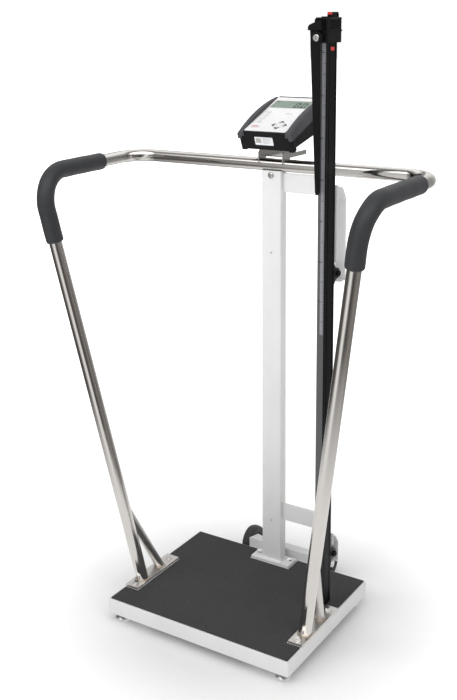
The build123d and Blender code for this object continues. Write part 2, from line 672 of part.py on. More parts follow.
for number, u in enumerate(ROUND_KEY_U, start=1):
    with BuildSketch() as round_outline:
        with Locations((ROUND_KEY_X, u)):
            Circle(ROUND_KEY_R)
    save_key(f"key_round_{number}", round_outline.sketch)
with BuildSketch() as power_outline:
    with Locations(POWER_KEY):
        SlotOverall(24, 13)
save_key("key_power", power_outline.sketch)
with BuildSketch() as nav_outline:
    with Locations(Location((*NAV_KEY, 0), (0, 0, 45))):
        RectangleRounded(NAV_KEY_SIDE, NAV_KEY_SIDE, 3)
save_key("key_nav", nav_outline.sketch)

# Circuit board with its larger components.
with BuildPart() as main_board:
    with BuildSketch(FACE.offset(-12)):
        with Locations((0, 98)):
            Rectangle(108, 184)
    extrude(amount=1.6)
    with BuildSketch(FACE.offset(-12)):
        with Locations((20, 60), (20, 120), (-25, 140)):
            Rectangle(18, 18)
    extrude(amount=-3)
    with BuildSketch(FACE.offset(-12)):
        with Locations((-30, 30), (0, 175), (38, 175)):
            Rectangle(14, 9)
    extrude(amount=-8)
save(main_board, "main_board")

with BuildPart() as battery_pack:
    for row in (-27, 0, 27):
        with BuildSketch(SIDE.offset(-38)):
            with Locations((75 + row, -36)):
                Circle(13)
        extrude(amount=76)
save(battery_pack, "battery_pack")

with BuildPart() as rating_label:
    with BuildSketch(Plane(FACE.from_local_coords((0, CASE_U0, 0)), (1, 0, 0), FACE.y_dir * -1)):
        with Locations((-4, -26.5)):
            RectangleRounded(54, 23, 2)
    extrude(amount=0.3)
save(rating_label, "rating_label")

with BuildPart() as cable_gland:
    with BuildSketch(Plane(FACE.from_local_coords((0, CASE_U1, -32)), (1, 0, 0), FACE.y_dir)):
        RegularPolygon(radius=10, side_count=6)
    extrude(amount=6)
    with BuildSketch(Plane(FACE.from_local_coords((0, CASE_U1 + 6, -32)), (1, 0, 0), FACE.y_dir)):
        Circle(7.5)
    extrude(amount=7, taper=12)
    with BuildSketch(Plane(FACE.from_local_coords((0, CASE_U1, -32)), (1, 0, 0), FACE.y_dir)):
        Circle(2.6)
    extrude(amount=20, mode=Mode.SUBTRACT)
save(cable_gland, "cable_gland")

# Stainless bracket: saddle flanges on the rail, a low tray behind it and a sloped plate under the case.
FLANGE_X = 36.0
FLANGE_T = 2.5
TRAY_Z = 1218.0
TRAY_BACK = 300.0
PLATE_U = (32.0, 112.0)
PLATE_T = 2.0
PLATE_HALF_W = 54.0


def case_point(u, drop):
    """World Y and Z of a point a little way below the case's underside."""
    point = FACE.from_local_coords((0, u, under(u) - drop))
    return (point.Y, point.Z)


with BuildPart() as indicator_bracket:
    for sign in (-1, 1):
        with BuildSketch(Plane.YZ.offset(sign * FLANGE_X - FLANGE_T / 2)):
            Polygon(
                case_point(PLATE_U[0], 1.0), case_point(PLATE_U[0] + 46, 1.0), (240, TRAY_Z + 12),
                (TRAY_BACK, TRAY_Z + 12), (TRAY_BACK, TRAY_Z), (209, TRAY_Z), (209, RAIL_Z + 3),
                (171, RAIL_Z + 3), (171, TRAY_Z + 14), align=None,
            )
        extrude(amount=FLANGE_T)
    with BuildSketch(Plane.XY.offset(TRAY_Z)):
        with Locations((0, (209 + TRAY_BACK) / 2)):
            Rectangle(2 * FLANGE_X, TRAY_BACK - 209)
    extrude(amount=FLANGE_T)
    with BuildSketch(SIDE.offset(-PLATE_HALF_W)):
        Polygon(
            (PLATE_U[0], under(PLATE_U[0]) - 0.1), (PLATE_U[1], under(PLATE_U[1]) - 0.1),
            (PLATE_U[1], under(PLATE_U[1]) - PLATE_T), (PLATE_U[0], under(PLATE_U[0]) - PLATE_T), align=None,
        )
    extrude(amount=2 * PLATE_HALF_W)
    with Locations(Plane.YZ):
        with Locations((COLUMN_Y, RAIL_Z)):
            Cylinder(radius=RAIL_R + 0.05, height=200, mode=Mode.SUBTRACT)

# Two thumb screws through the plate into the case.
slope = tilt + atan(under_slope)
SCREW_U = 56.0
down = Vector(0, sin(slope), -cos(slope))
with BuildPart() as case_screws:
    for x in (-45, 45):
        seat = FACE.from_local_coords((x, SCREW_U, under(SCREW_U))) + down * (PLATE_T + 0.1)
        with BuildSketch(Plane(seat, (1, 0, 0), down)):
            Circle(7)
        extrude(amount=7)
        with BuildSketch(Plane(seat + down * 7, (1, 0, 0), down)):
            Circle(6)
        extrude(amount=16, taper=12)
        with BuildSketch(Plane(seat, (1, 0, 0), down)):
            Circle(2.5)
        extrude(amount=-9)
save(case_screws, "case_screws")
for piece, name in ((indicator_bracket, "indicator_bracket"), (housing_base, "housing_base")):
    with BuildPart() as drilled:
        add(piece.part)
        for x in (-45, 45):
            seat = FACE.from_local_coords((x, SCREW_U, under(SCREW_U)))
            with BuildSketch(Plane(seat - down * 12, (1, 0, 0), down)):
                Circle(2.6)
            extrude(amount=24, mode=Mode.SUBTRACT)
    save(drilled, name)

# ---------------------------------------------------------------- height rod
ROD_MID_Y = ROD_FRONT + ROD_D / 2
INNER_MID_Y = INNER_FRONT + INNER_D / 2
SLOT_NECK = 8.0
SLOT_HEAD = 12.0
INNER_LEN = 620.0
MARKER_Z = (1503.0, 1511.0)
MARKER_Y = (41.0, 59.0)

with BuildPart() as rod_outer:
    with BuildSketch(Plane.XY.offset(ROD_BOTTOM)):
        with Locations((ROD_X, ROD_MID_Y)):
            RectangleRounded(ROD_W, ROD_D, 2)
        with Locations((ROD_X, INNER_MID_Y)):
            Rectangle(INNER_W + 2 * SLIDE_FIT, INNER_D + 2 * SLIDE_FIT, mode=Mode.SUBTRACT)
        with Locations((ROD_X, ROD_BACK - 1.5)):
            Rectangle(SLOT_NECK, 3.2, mode=Mode.SUBTRACT)
        with Locations((ROD_X, ROD_BACK - 5)):
            Rectangle(SLOT_HEAD, 4.2, mode=Mode.SUBTRACT)
        with Locations([(ROD_X + sx * ROD_W / 2, ROD_FRONT + y) for sx in (-1, 1) for y in (14, 44)]):
            Rectangle(1.4, 3.5, mode=Mode.SUBTRACT)
    extrude(amount=ROD_TOP - ROD_BOTTOM)
    with Locations((ROD_X + ROD_W / 2, sum(MARKER_Y) / 2, sum(MARKER_Z) / 2)):
        Box(1.0, MARKER_Y[1] - MARKER_Y[0], MARKER_Z[1] - MARKER_Z[0], mode=Mode.SUBTRACT)
save(rod_outer, "rod_outer")

with BuildPart() as rod_tape:
    with BuildSketch(Plane.XY.offset(ROD_BOTTOM + 4)):
        with Locations((ROD_X, ROD_FRONT - TAPE_THICK / 2)):
            Rectangle(17.6, TAPE_THICK)
    extrude(amount=ROD_TOP - ROD_BOTTOM - 8)
save(rod_tape, "rod_tape")

with BuildPart() as rod_marker:
    with Locations((ROD_X + ROD_W / 2 - 0.2, sum(MARKER_Y) / 2, sum(MARKER_Z) / 2)):
        Box(0.6, MARKER_Y[1] - MARKER_Y[0], MARKER_Z[1] - MARKER_Z[0])
save(rod_marker, "rod_marker")

with BuildPart() as rod_foot:
    with BuildSketch(Plane.XY.offset(ROD_BOTTOM - 4)):
        with Locations((ROD_X, ROD_MID_Y)):
            RectangleRounded(ROD_W + 0.8, ROD_D + 0.8, 2.4)
    extrude(amount=4)
    with BuildSketch(Plane.XY.offset(ROD_BOTTOM)):
        with Locations((ROD_X, INNER_MID_Y)):
            Rectangle(INNER_W, INNER_D)
    extrude(amount=14)
save(rod_foot, "rod_foot")

# Telescoping inner section and its cap.
with BuildPart() as rod_inner:
    with BuildSketch(Plane.XY.offset(ROD_TOP + 2 - INNER_LEN)):
        with Locations((ROD_X, INNER_MID_Y)):
            Rectangle(INNER_W, INNER_D)
            Rectangle(INNER_W - 3.6, INNER_D - 3.6, mode=Mode.SUBTRACT)
    extrude(amount=INNER_LEN)
save(rod_inner, "rod_inner")

CAP_LEFT = ROD_X - 0.6
CAP_RIGHT = ROD_X + ROD_W / 2
CAP_FRONT = 42.0
CAP_BACK = 80.6
CAP_Z = ROD_TOP + 2
CAP_H = 12.0
CAP_BASE_T = 2.0
POINTER_BACK = CAP_FRONT + 4.0
# The cap plugs the inner section, and its upright part stands to the right of the middle.
with BuildPart() as rod_cap:
    with BuildSketch(Plane.XY.offset(CAP_Z)):
        with Locations((ROD_X, INNER_MID_Y)):
            RectangleRounded(INNER_W, INNER_D, 1)
    extrude(amount=CAP_BASE_T)
    with BuildSketch(Plane.YZ.offset(CAP_LEFT)):
        with BuildLine():
            Polyline(
                (CAP_FRONT, CAP_Z), (CAP_FRONT, CAP_Z + CAP_H / 2), (POINTER_BACK, CAP_Z + CAP_H / 2),
                (POINTER_BACK, CAP_Z + CAP_H), (CAP_BACK - 7, CAP_Z + CAP_H),
            )
            ThreePointArc(
                (CAP_BACK - 7, CAP_Z + CAP_H), (CAP_BACK - 2, CAP_Z + CAP_H - 2), (CAP_BACK, CAP_Z + 5)
            )
            Polyline((CAP_BACK, CAP_Z + 5), (CAP_BACK, CAP_Z), (CAP_FRONT, CAP_Z))
        make_face()
        with Locations((CAP_BACK - 7.8, CAP_Z + 5.2)):
            Circle(3.5, mode=Mode.SUBTRACT)
    extrude(amount=CAP_RIGHT - CAP_LEFT)
save(rod_cap, "rod_cap")

with BuildPart() as rod_pointer:
    with BuildSketch(Plane.XY.offset(CAP_Z + CAP_H / 2 + 0.1)):
        with Locations(((CAP_LEFT + CAP_RIGHT) / 2, (CAP_FRONT + POINTER_BACK) / 2)):
            Rectangle(CAP_RIGHT - CAP_LEFT - 0.4, POINTER_BACK - CAP_FRONT - 0.2)
    extrude(amount=CAP_H / 2 - 0.1)
save(rod_pointer, "rod_pointer")

# ---------------------------------------------------------------- sliding head and measuring arm
SLOT_LEFT = ROD_X - ROD_W / 2 - 0.6
SLOT_RIGHT = ROD_X + ROD_W / 2 + 0.6
CHEEK = 7.2
CHEEK_BACK = 79.0
HEAD_BACK = 81.0
TOP_FRONT = 16.5
TOP_PLATE_T = 4.0
PLATE_BACK_Y = 12.4
PLATE_FRONT_Y = 19.4
HOUSE_LEFT = 198.5
BLOCK_RIGHT = 232.0
WINDOW_LEFT = 236.0
RECESS_TOP = HEAD_SPLIT + 1.5

with BuildPart() as head_slider:
    for x0, x1 in ((SLOT_LEFT - CHEEK, SLOT_LEFT), (SLOT_RIGHT, SLOT_RIGHT + CHEEK)):
        with BuildSketch(Plane.XY.offset(HEAD_BOTTOM)):
            with Locations(((x0 + x1) / 2, (PLATE_BACK_Y + CHEEK_BACK) / 2)):
                Rectangle(x1 - x0, CHEEK_BACK - PLATE_BACK_Y)
        extrude(amount=HEAD_TOP - HEAD_BOTTOM)
        with BuildSketch(Plane.XY.offset(HEAD_SPLIT - 1.5)):
            grow = 1.6 if x0 > ROD_X else 0.0
            with Locations(((x0 + x1 + grow) / 2, (PLATE_BACK_Y + CHEEK_BACK + 1.5) / 2)):
                Rectangle(x1 - x0 + grow, CHEEK_BACK + 1.5 - PLATE_BACK_Y)
        extrude(amount=3.2)
    # Grip ribs on the right cheek.
    with BuildSketch(Plane.XY.offset(HEAD_SPLIT + 4)):
        with Locations([(SLOT_RIGHT + CHEEK, y) for y in range(20, 78, 5)]):
            Rectangle(1.4, 2.2)
    extrude(amount=HEAD_TOP - HEAD_SPLIT - 6, mode=Mode.SUBTRACT)
    # Flared top plate around the rod.
    with BuildSketch(Plane.XY.offset(HEAD_TOP)):
        with Locations((ROD_X, (TOP_FRONT + HEAD_BACK) / 2)):
            RectangleRounded(40, HEAD_BACK - TOP_FRONT, 4)
    extrude(amount=TOP_PLATE_T)
    chamfer(head_slider.faces().sort_by(Axis.Z)[-1].edges(), length=3.4, length2=2.2)
    # Back plate of the hinge housing.
    with BuildSketch(Plane.XZ.offset(-PLATE_FRONT_Y)):
        Polygon(
            (HOUSE_LEFT + 1.5, HEAD_BOTTOM),
            (WINDOW_LEFT, HEAD_BOTTOM),
            (WINDOW_LEFT, HEAD_TOP + 0.5),
            (HOUSE_LEFT + 8, HEAD_TOP - 13),
            (HOUSE_LEFT, HEAD_TOP - 22.5),
            (HOUSE_LEFT, HEAD_SPLIT),
            align=None,
        )
    extrude(amount=PLATE_FRONT_Y - PLATE_BACK_Y)
    # Block over the hinge, with a sloping top and a rounded shoulder.
    with BuildSketch(Plane.XZ.offset(-PLATE_BACK_Y)):
        with BuildLine():
            Polyline(
                (HOUSE_LEFT, HEAD_SPLIT - 1),
                (BLOCK_RIGHT + 2.5, HEAD_SPLIT - 1),
                (BLOCK_RIGHT, HEAD_TOP - 1),
                (BLOCK_RIGHT - 3, HEAD_TOP - 1),
                (HOUSE_LEFT + 6.5, HEAD_TOP - 11),
            )
            ThreePointArc(
                (HOUSE_LEFT + 6.5, HEAD_TOP - 11),
                (HOUSE_LEFT + 1.6, HEAD_TOP - 15),
                (HOUSE_LEFT, HEAD_TOP - 21),
            )
            Polyline((HOUSE_LEFT, HEAD_TOP - 21), (HOUSE_LEFT, HEAD_SPLIT - 1))
        make_face()
    extrude(amount=PLATE_BACK_Y - 1)
    # Recess for the arm's root, open below, to both sides and to the front.
    with BuildSketch(Plane.XZ.offset(-PLATE_BACK_Y)):
        with Locations(((HOUSE_LEFT + WINDOW_LEFT) / 2, (HEAD_BOTTOM - 5 + RECESS_TOP) / 2)):
            Rectangle(WINDOW_LEFT - HOUSE_LEFT + 10, RECESS_TOP - HEAD_BOTTOM + 5)
    extrude(amount=40, mode=Mode.SUBTRACT)
    # Clear channel for the rod, open at the back.
    with BuildSketch(Plane.XY.offset(HEAD_BOTTOM - 5)):
        with Locations((ROD_X, (PLATE_FRONT_Y + 100) / 2)):
            Rectangle(SLOT_RIGHT - SLOT_LEFT, 100 - PLATE_FRONT_Y)
    extrude(amount=HEAD_TOP - HEAD_BOTTOM + 20, mode=Mode.SUBTRACT)
    # Reading line across the tape window.
    with Locations(((WINDOW_LEFT + SLOT_RIGHT) / 2, (15 + PLATE_FRONT_Y) / 2, HEAD_SPLIT)):
        Box(SLOT_RIGHT - WINDOW_LEFT + 2, PLATE_FRONT_Y - 15, 3)
    with Locations(Plane((ARM_PIVOT_X, PLATE_FRONT_Y, ARM_PIVOT_Z), (1, 0, 0), (0, 1, 0))):
        Hole(radius=4.02, depth=30)
save(head_slider, "head_slider")

with BuildPart() as head_arm:
    with BuildSketch(Plane.XZ.offset(-(ARM_FRONT + ARM_THICK))):
        with Locations((ARM_PIVOT_X, ARM_PIVOT_Z)):
            Circle(ARM_ROOT_R)
        Polygon(
            (ARM_PIVOT_X - ARM_ROOT_R, ARM_PIVOT_Z), (ARM_PIVOT_X - ARM_ROOT_R, ARM_PIVOT_Z - 14),
            (ARM_TIP_X0, ARM_TIP_Z + 6), (ARM_TIP_X0 + 2, ARM_TIP_Z), (ARM_TIP_X1 - 2, ARM_TIP_Z),
            (ARM_TIP_X1, ARM_TIP_Z + 6), (ARM_TIP_X1 - 2.8, ARM_PIVOT_Z - 17),
            (ARM_PIVOT_X + ARM_ROOT_R, ARM_PIVOT_Z), align=None,
        )
        with Locations((ARM_PIVOT_X, ARM_PIVOT_Z)):
            Circle(4.06, mode=Mode.SUBTRACT)
    extrude(amount=ARM_THICK)
save(head_arm, "head_arm")

with BuildPart() as arm_pivot:
    with BuildSketch(Plane((ARM_PIVOT_X, ARM_FRONT - 0.1, ARM_PIVOT_Z), (1, 0, 0), (0, -1, 0))):
        Circle(8.5)
    extrude(amount=3.2)
    fillet(arm_pivot.edges().sort_by(Axis.Y)[0], radius=2.0)
    with BuildSketch(Plane((ARM_PIVOT_X, ARM_FRONT - 0.1, ARM_PIVOT_Z), (1, 0, 0), (0, 1, 0))):
        Circle(4.0)
    extrude(amount=PLATE_FRONT_Y - ARM_FRONT)
    with BuildSketch(Plane((ARM_PIVOT_X, ARM_FRONT - 3.3, ARM_PIVOT_Z), (1, 0, 0), (0, 1, 0))):
        Rectangle(9, 1.6)
        Rectangle(1.6, 9)
    extrude(amount=1.4, mode=Mode.SUBTRACT)
save(arm_pivot, "arm_pivot")

# ---------------------------------------------------------------- rod brackets and clamps
CHANNEL_X0 = 212.0
CHANNEL_X1 = 241.0
CHANNEL_T = 2.5
ARM_PLATE_Y = COLUMN_Y - 2.0
ARM_PLATE_T = 6.0
ARM_BEND_X = 150.0
CLAMP_X0 = 219.0
CLAMP_X1 = 237.8
CLAMP_Y = 91.0
CLAMP_R = 13.5

brackets = {
    "upper": {
        "arm_z": (1130.0, 1181.0),
        "channel": [(82, 932), (82, 1180), (112, 1170), (131, 1140), (131, 932)],
        "arm_end_y": 112.0,
        "clamp_z": 958.0,
    },
    "lower": {
        "arm_z": (198.0, 247.0),
        "channel": [(80, 168), (80, 259), (98, 245), (113, 222), (113, 168)],
        "arm_end_y": 99.0,
        "clamp_z": 197.0,
    },
}
for level, size in brackets.items():
    bottom_z = size["channel"][0][1]
    arm_low, arm_high = size["arm_z"]
    with BuildPart() as rod_bracket:
        with BuildSketch(Plane.YZ.offset(CHANNEL_X0)):
            Polygon(*size["channel"], align=None)
        extrude(amount=CHANNEL_X1 - CHANNEL_X0)
        with BuildSketch(Plane.YZ.offset(CHANNEL_X0 + CHANNEL_T)):
            Polygon(*size["channel"], align=None)
            offset(amount=-CHANNEL_T, kind=Kind.INTERSECTION)
        extrude(amount=CHANNEL_X1 - CHANNEL_X0, mode=Mode.SUBTRACT)
        # The front flange and the foot are cut back for the clamp.
        clamp_top = size["clamp_z"] + 30
        with Locations(((CHANNEL_X0 + CHANNEL_T + 250) / 2, 92, (bottom_z - 5 + clamp_top) / 2)):
            Box(250 - CHANNEL_X0 - CHANNEL_T, 26, clamp_top - bottom_z + 5, mode=Mode.SUBTRACT)
        with BuildSketch(Plane.XY.offset(arm_low)):
            with BuildLine() as arm_route:
                Polyline(
                    (COLUMN_W / 2 + 0.1, ARM_PLATE_Y), (ARM_BEND_X, ARM_PLATE_Y),
                    (CHANNEL_X0 + 0.5, size["arm_end_y"]),
                )
            trace(line_width=ARM_PLATE_T)
        extrude(amount=arm_high - arm_low)
        with Locations(Plane.YZ.offset(CHANNEL_X0)):
            with Locations((CLAMP_Y, size["clamp_z"])):
                Cylinder(radius=4.1, height=20, mode=Mode.SUBTRACT)
    save(rod_bracket, f"rod_bracket_{level}")
    with BuildPart() as rod_clamp:
        with BuildSketch(Plane.YZ.offset(CLAMP_X0)):
            z = size["clamp_z"]
            with Locations((CLAMP_Y, z)):
                Circle(CLAMP_R)
            Polygon(
                (ROD_BACK + 0.2, z - 26),
                (ROD_BACK + 0.2, z + 26),
                (86, z + 12.5),
                (86, z - 12.5),
                align=None,
            )
        extrude(amount=CLAMP_X1 - CLAMP_X0)
        with Locations((ROD_X, ROD_BACK - 1, z)):
            Box(SLOT_NECK - 0.6, 8, 44)
        with Locations((ROD_X, ROD_BACK - 5, z)):
            Box(SLOT_HEAD - 0.6, 3.4, 44)
        with Locations(Plane.YZ.offset(CLAMP_X0)):
            with Locations((CLAMP_Y, z)):
                Cylinder(radius=4.1, height=60, mode=Mode.SUBTRACT)
    save(rod_clamp, f"rod_clamp_{level}")

OUTWARD = (Align.CENTER, Align.CENTER, Align.MIN)
with BuildPart() as clamp_screws:
    for size in brackets.values():
        with Locations(Plane((CLAMP_X1 + 0.1, CLAMP_Y, size["clamp_z"]), (0, 1, 0), (1, 0, 0))):
            Cylinder(radius=7.5, height=6, align=OUTWARD)
            with Locations((0, 0, 4)):
                Cylinder(radius=3.4, height=6, mode=Mode.SUBTRACT, align=OUTWARD)
            with Locations((0, 0, -CLAMP_X1 + CHANNEL_X0 - 3)):
                Cylinder(radius=4, height=CLAMP_X1 - CHANNEL_X0 + 3, align=OUTWARD)
save(clamp_screws, "clamp_screws")
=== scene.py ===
import json
from math import cos, pi, radians, sin, tan

import bmesh
import bpy
from mathutils import Matrix, Vector


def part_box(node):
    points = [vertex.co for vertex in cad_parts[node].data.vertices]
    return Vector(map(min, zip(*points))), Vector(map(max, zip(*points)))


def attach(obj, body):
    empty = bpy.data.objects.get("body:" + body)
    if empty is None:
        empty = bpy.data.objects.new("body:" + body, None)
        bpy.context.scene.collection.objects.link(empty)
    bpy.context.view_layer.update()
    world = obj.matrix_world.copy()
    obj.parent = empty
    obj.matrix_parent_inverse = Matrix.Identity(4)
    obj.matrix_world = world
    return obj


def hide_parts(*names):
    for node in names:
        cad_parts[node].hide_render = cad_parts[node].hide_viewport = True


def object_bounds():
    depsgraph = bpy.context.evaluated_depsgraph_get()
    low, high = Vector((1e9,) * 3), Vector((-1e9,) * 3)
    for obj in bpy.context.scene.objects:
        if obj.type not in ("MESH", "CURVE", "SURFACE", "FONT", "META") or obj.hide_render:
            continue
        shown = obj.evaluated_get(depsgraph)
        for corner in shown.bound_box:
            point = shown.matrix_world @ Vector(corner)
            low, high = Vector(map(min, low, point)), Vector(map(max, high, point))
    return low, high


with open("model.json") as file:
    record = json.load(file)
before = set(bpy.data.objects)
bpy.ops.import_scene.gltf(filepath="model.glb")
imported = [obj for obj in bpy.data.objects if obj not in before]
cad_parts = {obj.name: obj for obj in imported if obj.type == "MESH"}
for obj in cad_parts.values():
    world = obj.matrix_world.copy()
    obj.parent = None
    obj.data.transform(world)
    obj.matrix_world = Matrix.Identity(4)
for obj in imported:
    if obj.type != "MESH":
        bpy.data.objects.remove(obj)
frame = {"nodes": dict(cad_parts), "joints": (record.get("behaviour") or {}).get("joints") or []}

CAD_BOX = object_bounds()
NODES = frame["nodes"]
JOINTS = {j["name"]: j for j in frame["joints"]}
ROOT = "scale_frame"
MM = 0.001


# ------------------------------------------------------------------ materials
def new_material(name, color, rough, metal=0.0, coat=0.0, coat_rough=0.1, specular=0.5, sheen=0.0):
    """A material with one Principled shader; values that are the same all over sit on its sockets."""
    mat = bpy.data.materials.new(name)
    mat.use_nodes = True
    shader = mat.node_tree.nodes["Principled BSDF"]
    shader.inputs["Base Color"].default_value = (*color, 1)
    shader.inputs["Roughness"].default_value = rough
    shader.inputs["Metallic"].default_value = metal
    shader.inputs["Coat Weight"].default_value = coat
    shader.inputs["Coat Roughness"].default_value = coat_rough
    shader.inputs["Specular IOR Level"].default_value = specular
    shader.inputs["Sheen Weight"].default_value = sheen
    mat.diffuse_color = (*color, 1)
    return mat, mat.node_tree, shader


def coords(tree, stretch=(1, 1, 1)):
    """Object coordinates in metres, stretched along the axes."""
    source = tree.nodes.new("ShaderNodeTexCoord")
    mapping = tree.nodes.new("ShaderNodeMapping")
    mapping.inputs["Scale"].default_value = stretch
    tree.links.new(source.outputs["Object"], mapping.inputs["Vector"])
    return mapping.outputs["Vector"]


def noise(tree, vector, scale, detail, rough=0.55):
    """Cloudy noise, with its scale in waves per metre."""
    node = tree.nodes.new("ShaderNodeTexNoise")
    node.inputs["Scale"].default_value = scale
    node.inputs["Detail"].default_value = detail
    node.inputs["Roughness"].default_value = rough
    tree.links.new(vector, node.inputs["Vector"])
    return node.outputs["Fac"]


def voronoi(tree, vector, scale):
    """Distance to the nearest cell centre, with its scale in cells per metre."""
    node = tree.nodes.new("ShaderNodeTexVoronoi")
    node.inputs["Scale"].default_value = scale
    tree.links.new(vector, node.inputs["Vector"])
    return node.outputs["Distance"]


def spread(tree, fac, low, high, start=0.3, stop=0.7):
    """Maps a 0..1 value onto a range."""
    node = tree.nodes.new("ShaderNodeMapRange")
    node.inputs["From Min"].default_value = start
    node.inputs["From Max"].default_value = stop
    node.inputs["To Min"].default_value = low
    node.inputs["To Max"].default_value = high
    tree.links.new(fac, node.inputs["Value"])
    return node.outputs["Result"]


def tints(tree, fac, stops):
    """A colour ramp over (position, colour) stops."""
    node = tree.nodes.new("ShaderNodeValToRGB")
    ramp = node.color_ramp
    while len(ramp.elements) < len(stops):
        ramp.elements.new(0.5)
    for element, (position, color) in zip(ramp.elements, stops):
        element.position = position
        element.color = (*color, 1)
    tree.links.new(fac, node.inputs["Fac"])
    return node.outputs["Color"]


def math_node(tree, operation, a, b):
    """A math node on two sockets or plain numbers."""
    node = tree.nodes.new("ShaderNodeMath")
    node.operation = operation
    for socket, value in zip(node.inputs, (a, b)):
        if isinstance(value, (int, float)):
            socket.default_value = value
        else:
            tree.links.new(value, socket)
    return node.outputs["Value"]


MIX_COLOR_A, MIX_COLOR_B, MIX_COLOR_OUT = 6, 7, 2


def mix(tree, fac, first, second, blend="MIX"):
    """Mixes two colours, each a socket, a plain colour or a number."""
    node = tree.nodes.new("ShaderNodeMix")
    node.data_type = "RGBA"
    node.blend_type = blend
    for slot, value in (("Factor", fac), (MIX_COLOR_A, first), (MIX_COLOR_B, second)):
        socket = node.inputs[slot]
        if isinstance(value, (int, float)):
            socket.default_value = value
        elif isinstance(value, tuple):
            socket.default_value = (*value, 1)
        else:
            tree.links.new(value, socket)
    return node.outputs[MIX_COLOR_OUT]


def bump(tree, shader, height, strength, distance, under=None):
    """Relief from a height pattern, on top of an earlier bump if one is given."""
    node = tree.nodes.new("ShaderNodeBump")
    node.inputs["Strength"].default_value = strength
    node.inputs["Distance"].default_value = distance
    tree.links.new(height, node.inputs["Height"])
    if under is not None:
        tree.links.new(under, node.inputs["Normal"])
    tree.links.new(node.outputs["Normal"], shader.inputs["Normal"])
    return node.outputs["Normal"]


def shade(color, factor):
    """A colour made lighter or darker."""
    return tuple(min(1.0, c * factor) for c in color)


def two_tone(tree, fac, color, dark, light):
    """A colour that goes from a darker to a lighter shade of itself with a pattern."""
    return tints(tree, fac, [(0.3, shade(color, dark)), (0.7, shade(color, light))])


def feed(tree, value, shader, socket):
    """Links a pattern to one of the shader's sockets."""
    tree.links.new(value, shader.inputs[socket])


def plastic(name, color, rough, specular=0.5):
    """Moulded plastic: fine grain, faint blotches of tone and gloss."""
    mat, tree, shader = new_material(name, color, rough, specular=specular)
    here = coords(tree)
    feed(tree, two_tone(tree, noise(tree, here, 22, 4), color, 0.88, 1.12), shader, "Base Color")
    feed(tree, spread(tree, noise(tree, here, 60, 5), rough - 0.06, rough + 0.06), shader, "Roughness")
    bump(tree, shader, noise(tree, here, 1400, 2), 0.25, 0.00003)
    return mat


def powder_coat(name, color, rough=0.42):
    """Powder coat: orange peel, fine speckle, faint handling marks."""
    mat, tree, shader = new_material(name, color, rough, coat=0.15, coat_rough=0.3)
    here = coords(tree)
    dirt = noise(tree, here, 7, 5, 0.6)
    base = tints(tree, dirt, [(0.32, shade(color, 0.955)), (0.5, color), (0.75, shade(color, 1.02))])
    speck = spread(tree, noise(tree, here, 1500, 1), 0.985, 1.0)
    feed(tree, mix(tree, 1.0, base, speck, "MULTIPLY"), shader, "Base Color")
    feed(tree, spread(tree, noise(tree, here, 30, 4), rough - 0.05, rough + 0.07), shader, "Roughness")
    peel = bump(tree, shader, noise(tree, here, 330, 2, 0.45), 0.16, 0.00012)
    bump(tree, shader, noise(tree, here, 1700, 1), 0.05, 0.00003, peel)
    return mat


def brushed(name, color, rough, stretch, spread_by=0.07, strength=0.10):
    """Polished and brushed metal with long fine scratches along one direction."""
    mat, tree, shader = new_material(name, color, rough, metal=1.0)
    here = coords(tree)
    along = coords(tree, stretch)
    lines = noise(tree, along, 900, 3, 0.6)
    cloud = noise(tree, here, 9, 4, 0.6)
    tone = mix(tree, 0.35, two_tone(tree, cloud, color, 0.93, 1.0), two_tone(tree, lines, color, 0.86, 1.05))
    feed(tree, tone, shader, "Base Color")
    gloss = math_node(tree, "ADD", spread(tree, lines, -spread_by, spread_by),
                      spread(tree, cloud, rough - 0.03, rough + 0.05))
    feed(tree, gloss, shader, "Roughness")
    bump(tree, shader, lines, strength, 0.00003)
    return mat


def rubber(name, color, rough, pores):
    """Solid rubber: fine pores and a faint dusty sheen."""
    mat, tree, shader = new_material(name, color, rough, specular=0.35, sheen=0.15)
    here = coords(tree)
    feed(tree, two_tone(tree, noise(tree, here, 45, 5, 0.6), color, 0.84, 1.16), shader, "Base Color")
    feed(tree, spread(tree, noise(tree, here, 90, 4), rough - 0.06, rough + 0.06), shader, "Roughness")
    bump(tree, shader, voronoi(tree, here, pores), 0.35, 0.00012)
    return mat


def foam_skin():
    """Closed-cell foam: fine pores with painted shade in them, soft dusty sheen, a skin that is a little
    glossier than its pits.
    """
    color = (0.026, 0.027, 0.030)
    mat, tree, shader = new_material("foam_skin", color, 0.52, specular=0.36, sheen=0.06)
    here = coords(tree)
    cloud = noise(tree, here, 26, 5, 0.65)
    pores = voronoi(tree, here, 1150)
    base = tints(tree, cloud, [(0.28, shade(color, 0.80)), (0.5, color), (0.72, shade(color, 1.25))])
    # Painted shade: the colour darkens towards the middle of each pore, where the bump sinks.
    pore_painted_shade = tints(tree, pores, [(0.0, shade(color, 0.45)), (0.28, shade(color, 1.0)), (0.6, shade(color, 1.1))])
    feed(tree, mix(tree, 0.35, base, pore_painted_shade), shader, "Base Color")
    feed(tree, spread(tree, pores, 0.66, 0.50, 0.1, 0.5), shader, "Roughness")
    soft = bump(tree, shader, noise(tree, here, 120, 4, 0.6), 0.20, 0.0004)
    bump(tree, shader, pores, 0.35, 0.00016, soft)
    return mat


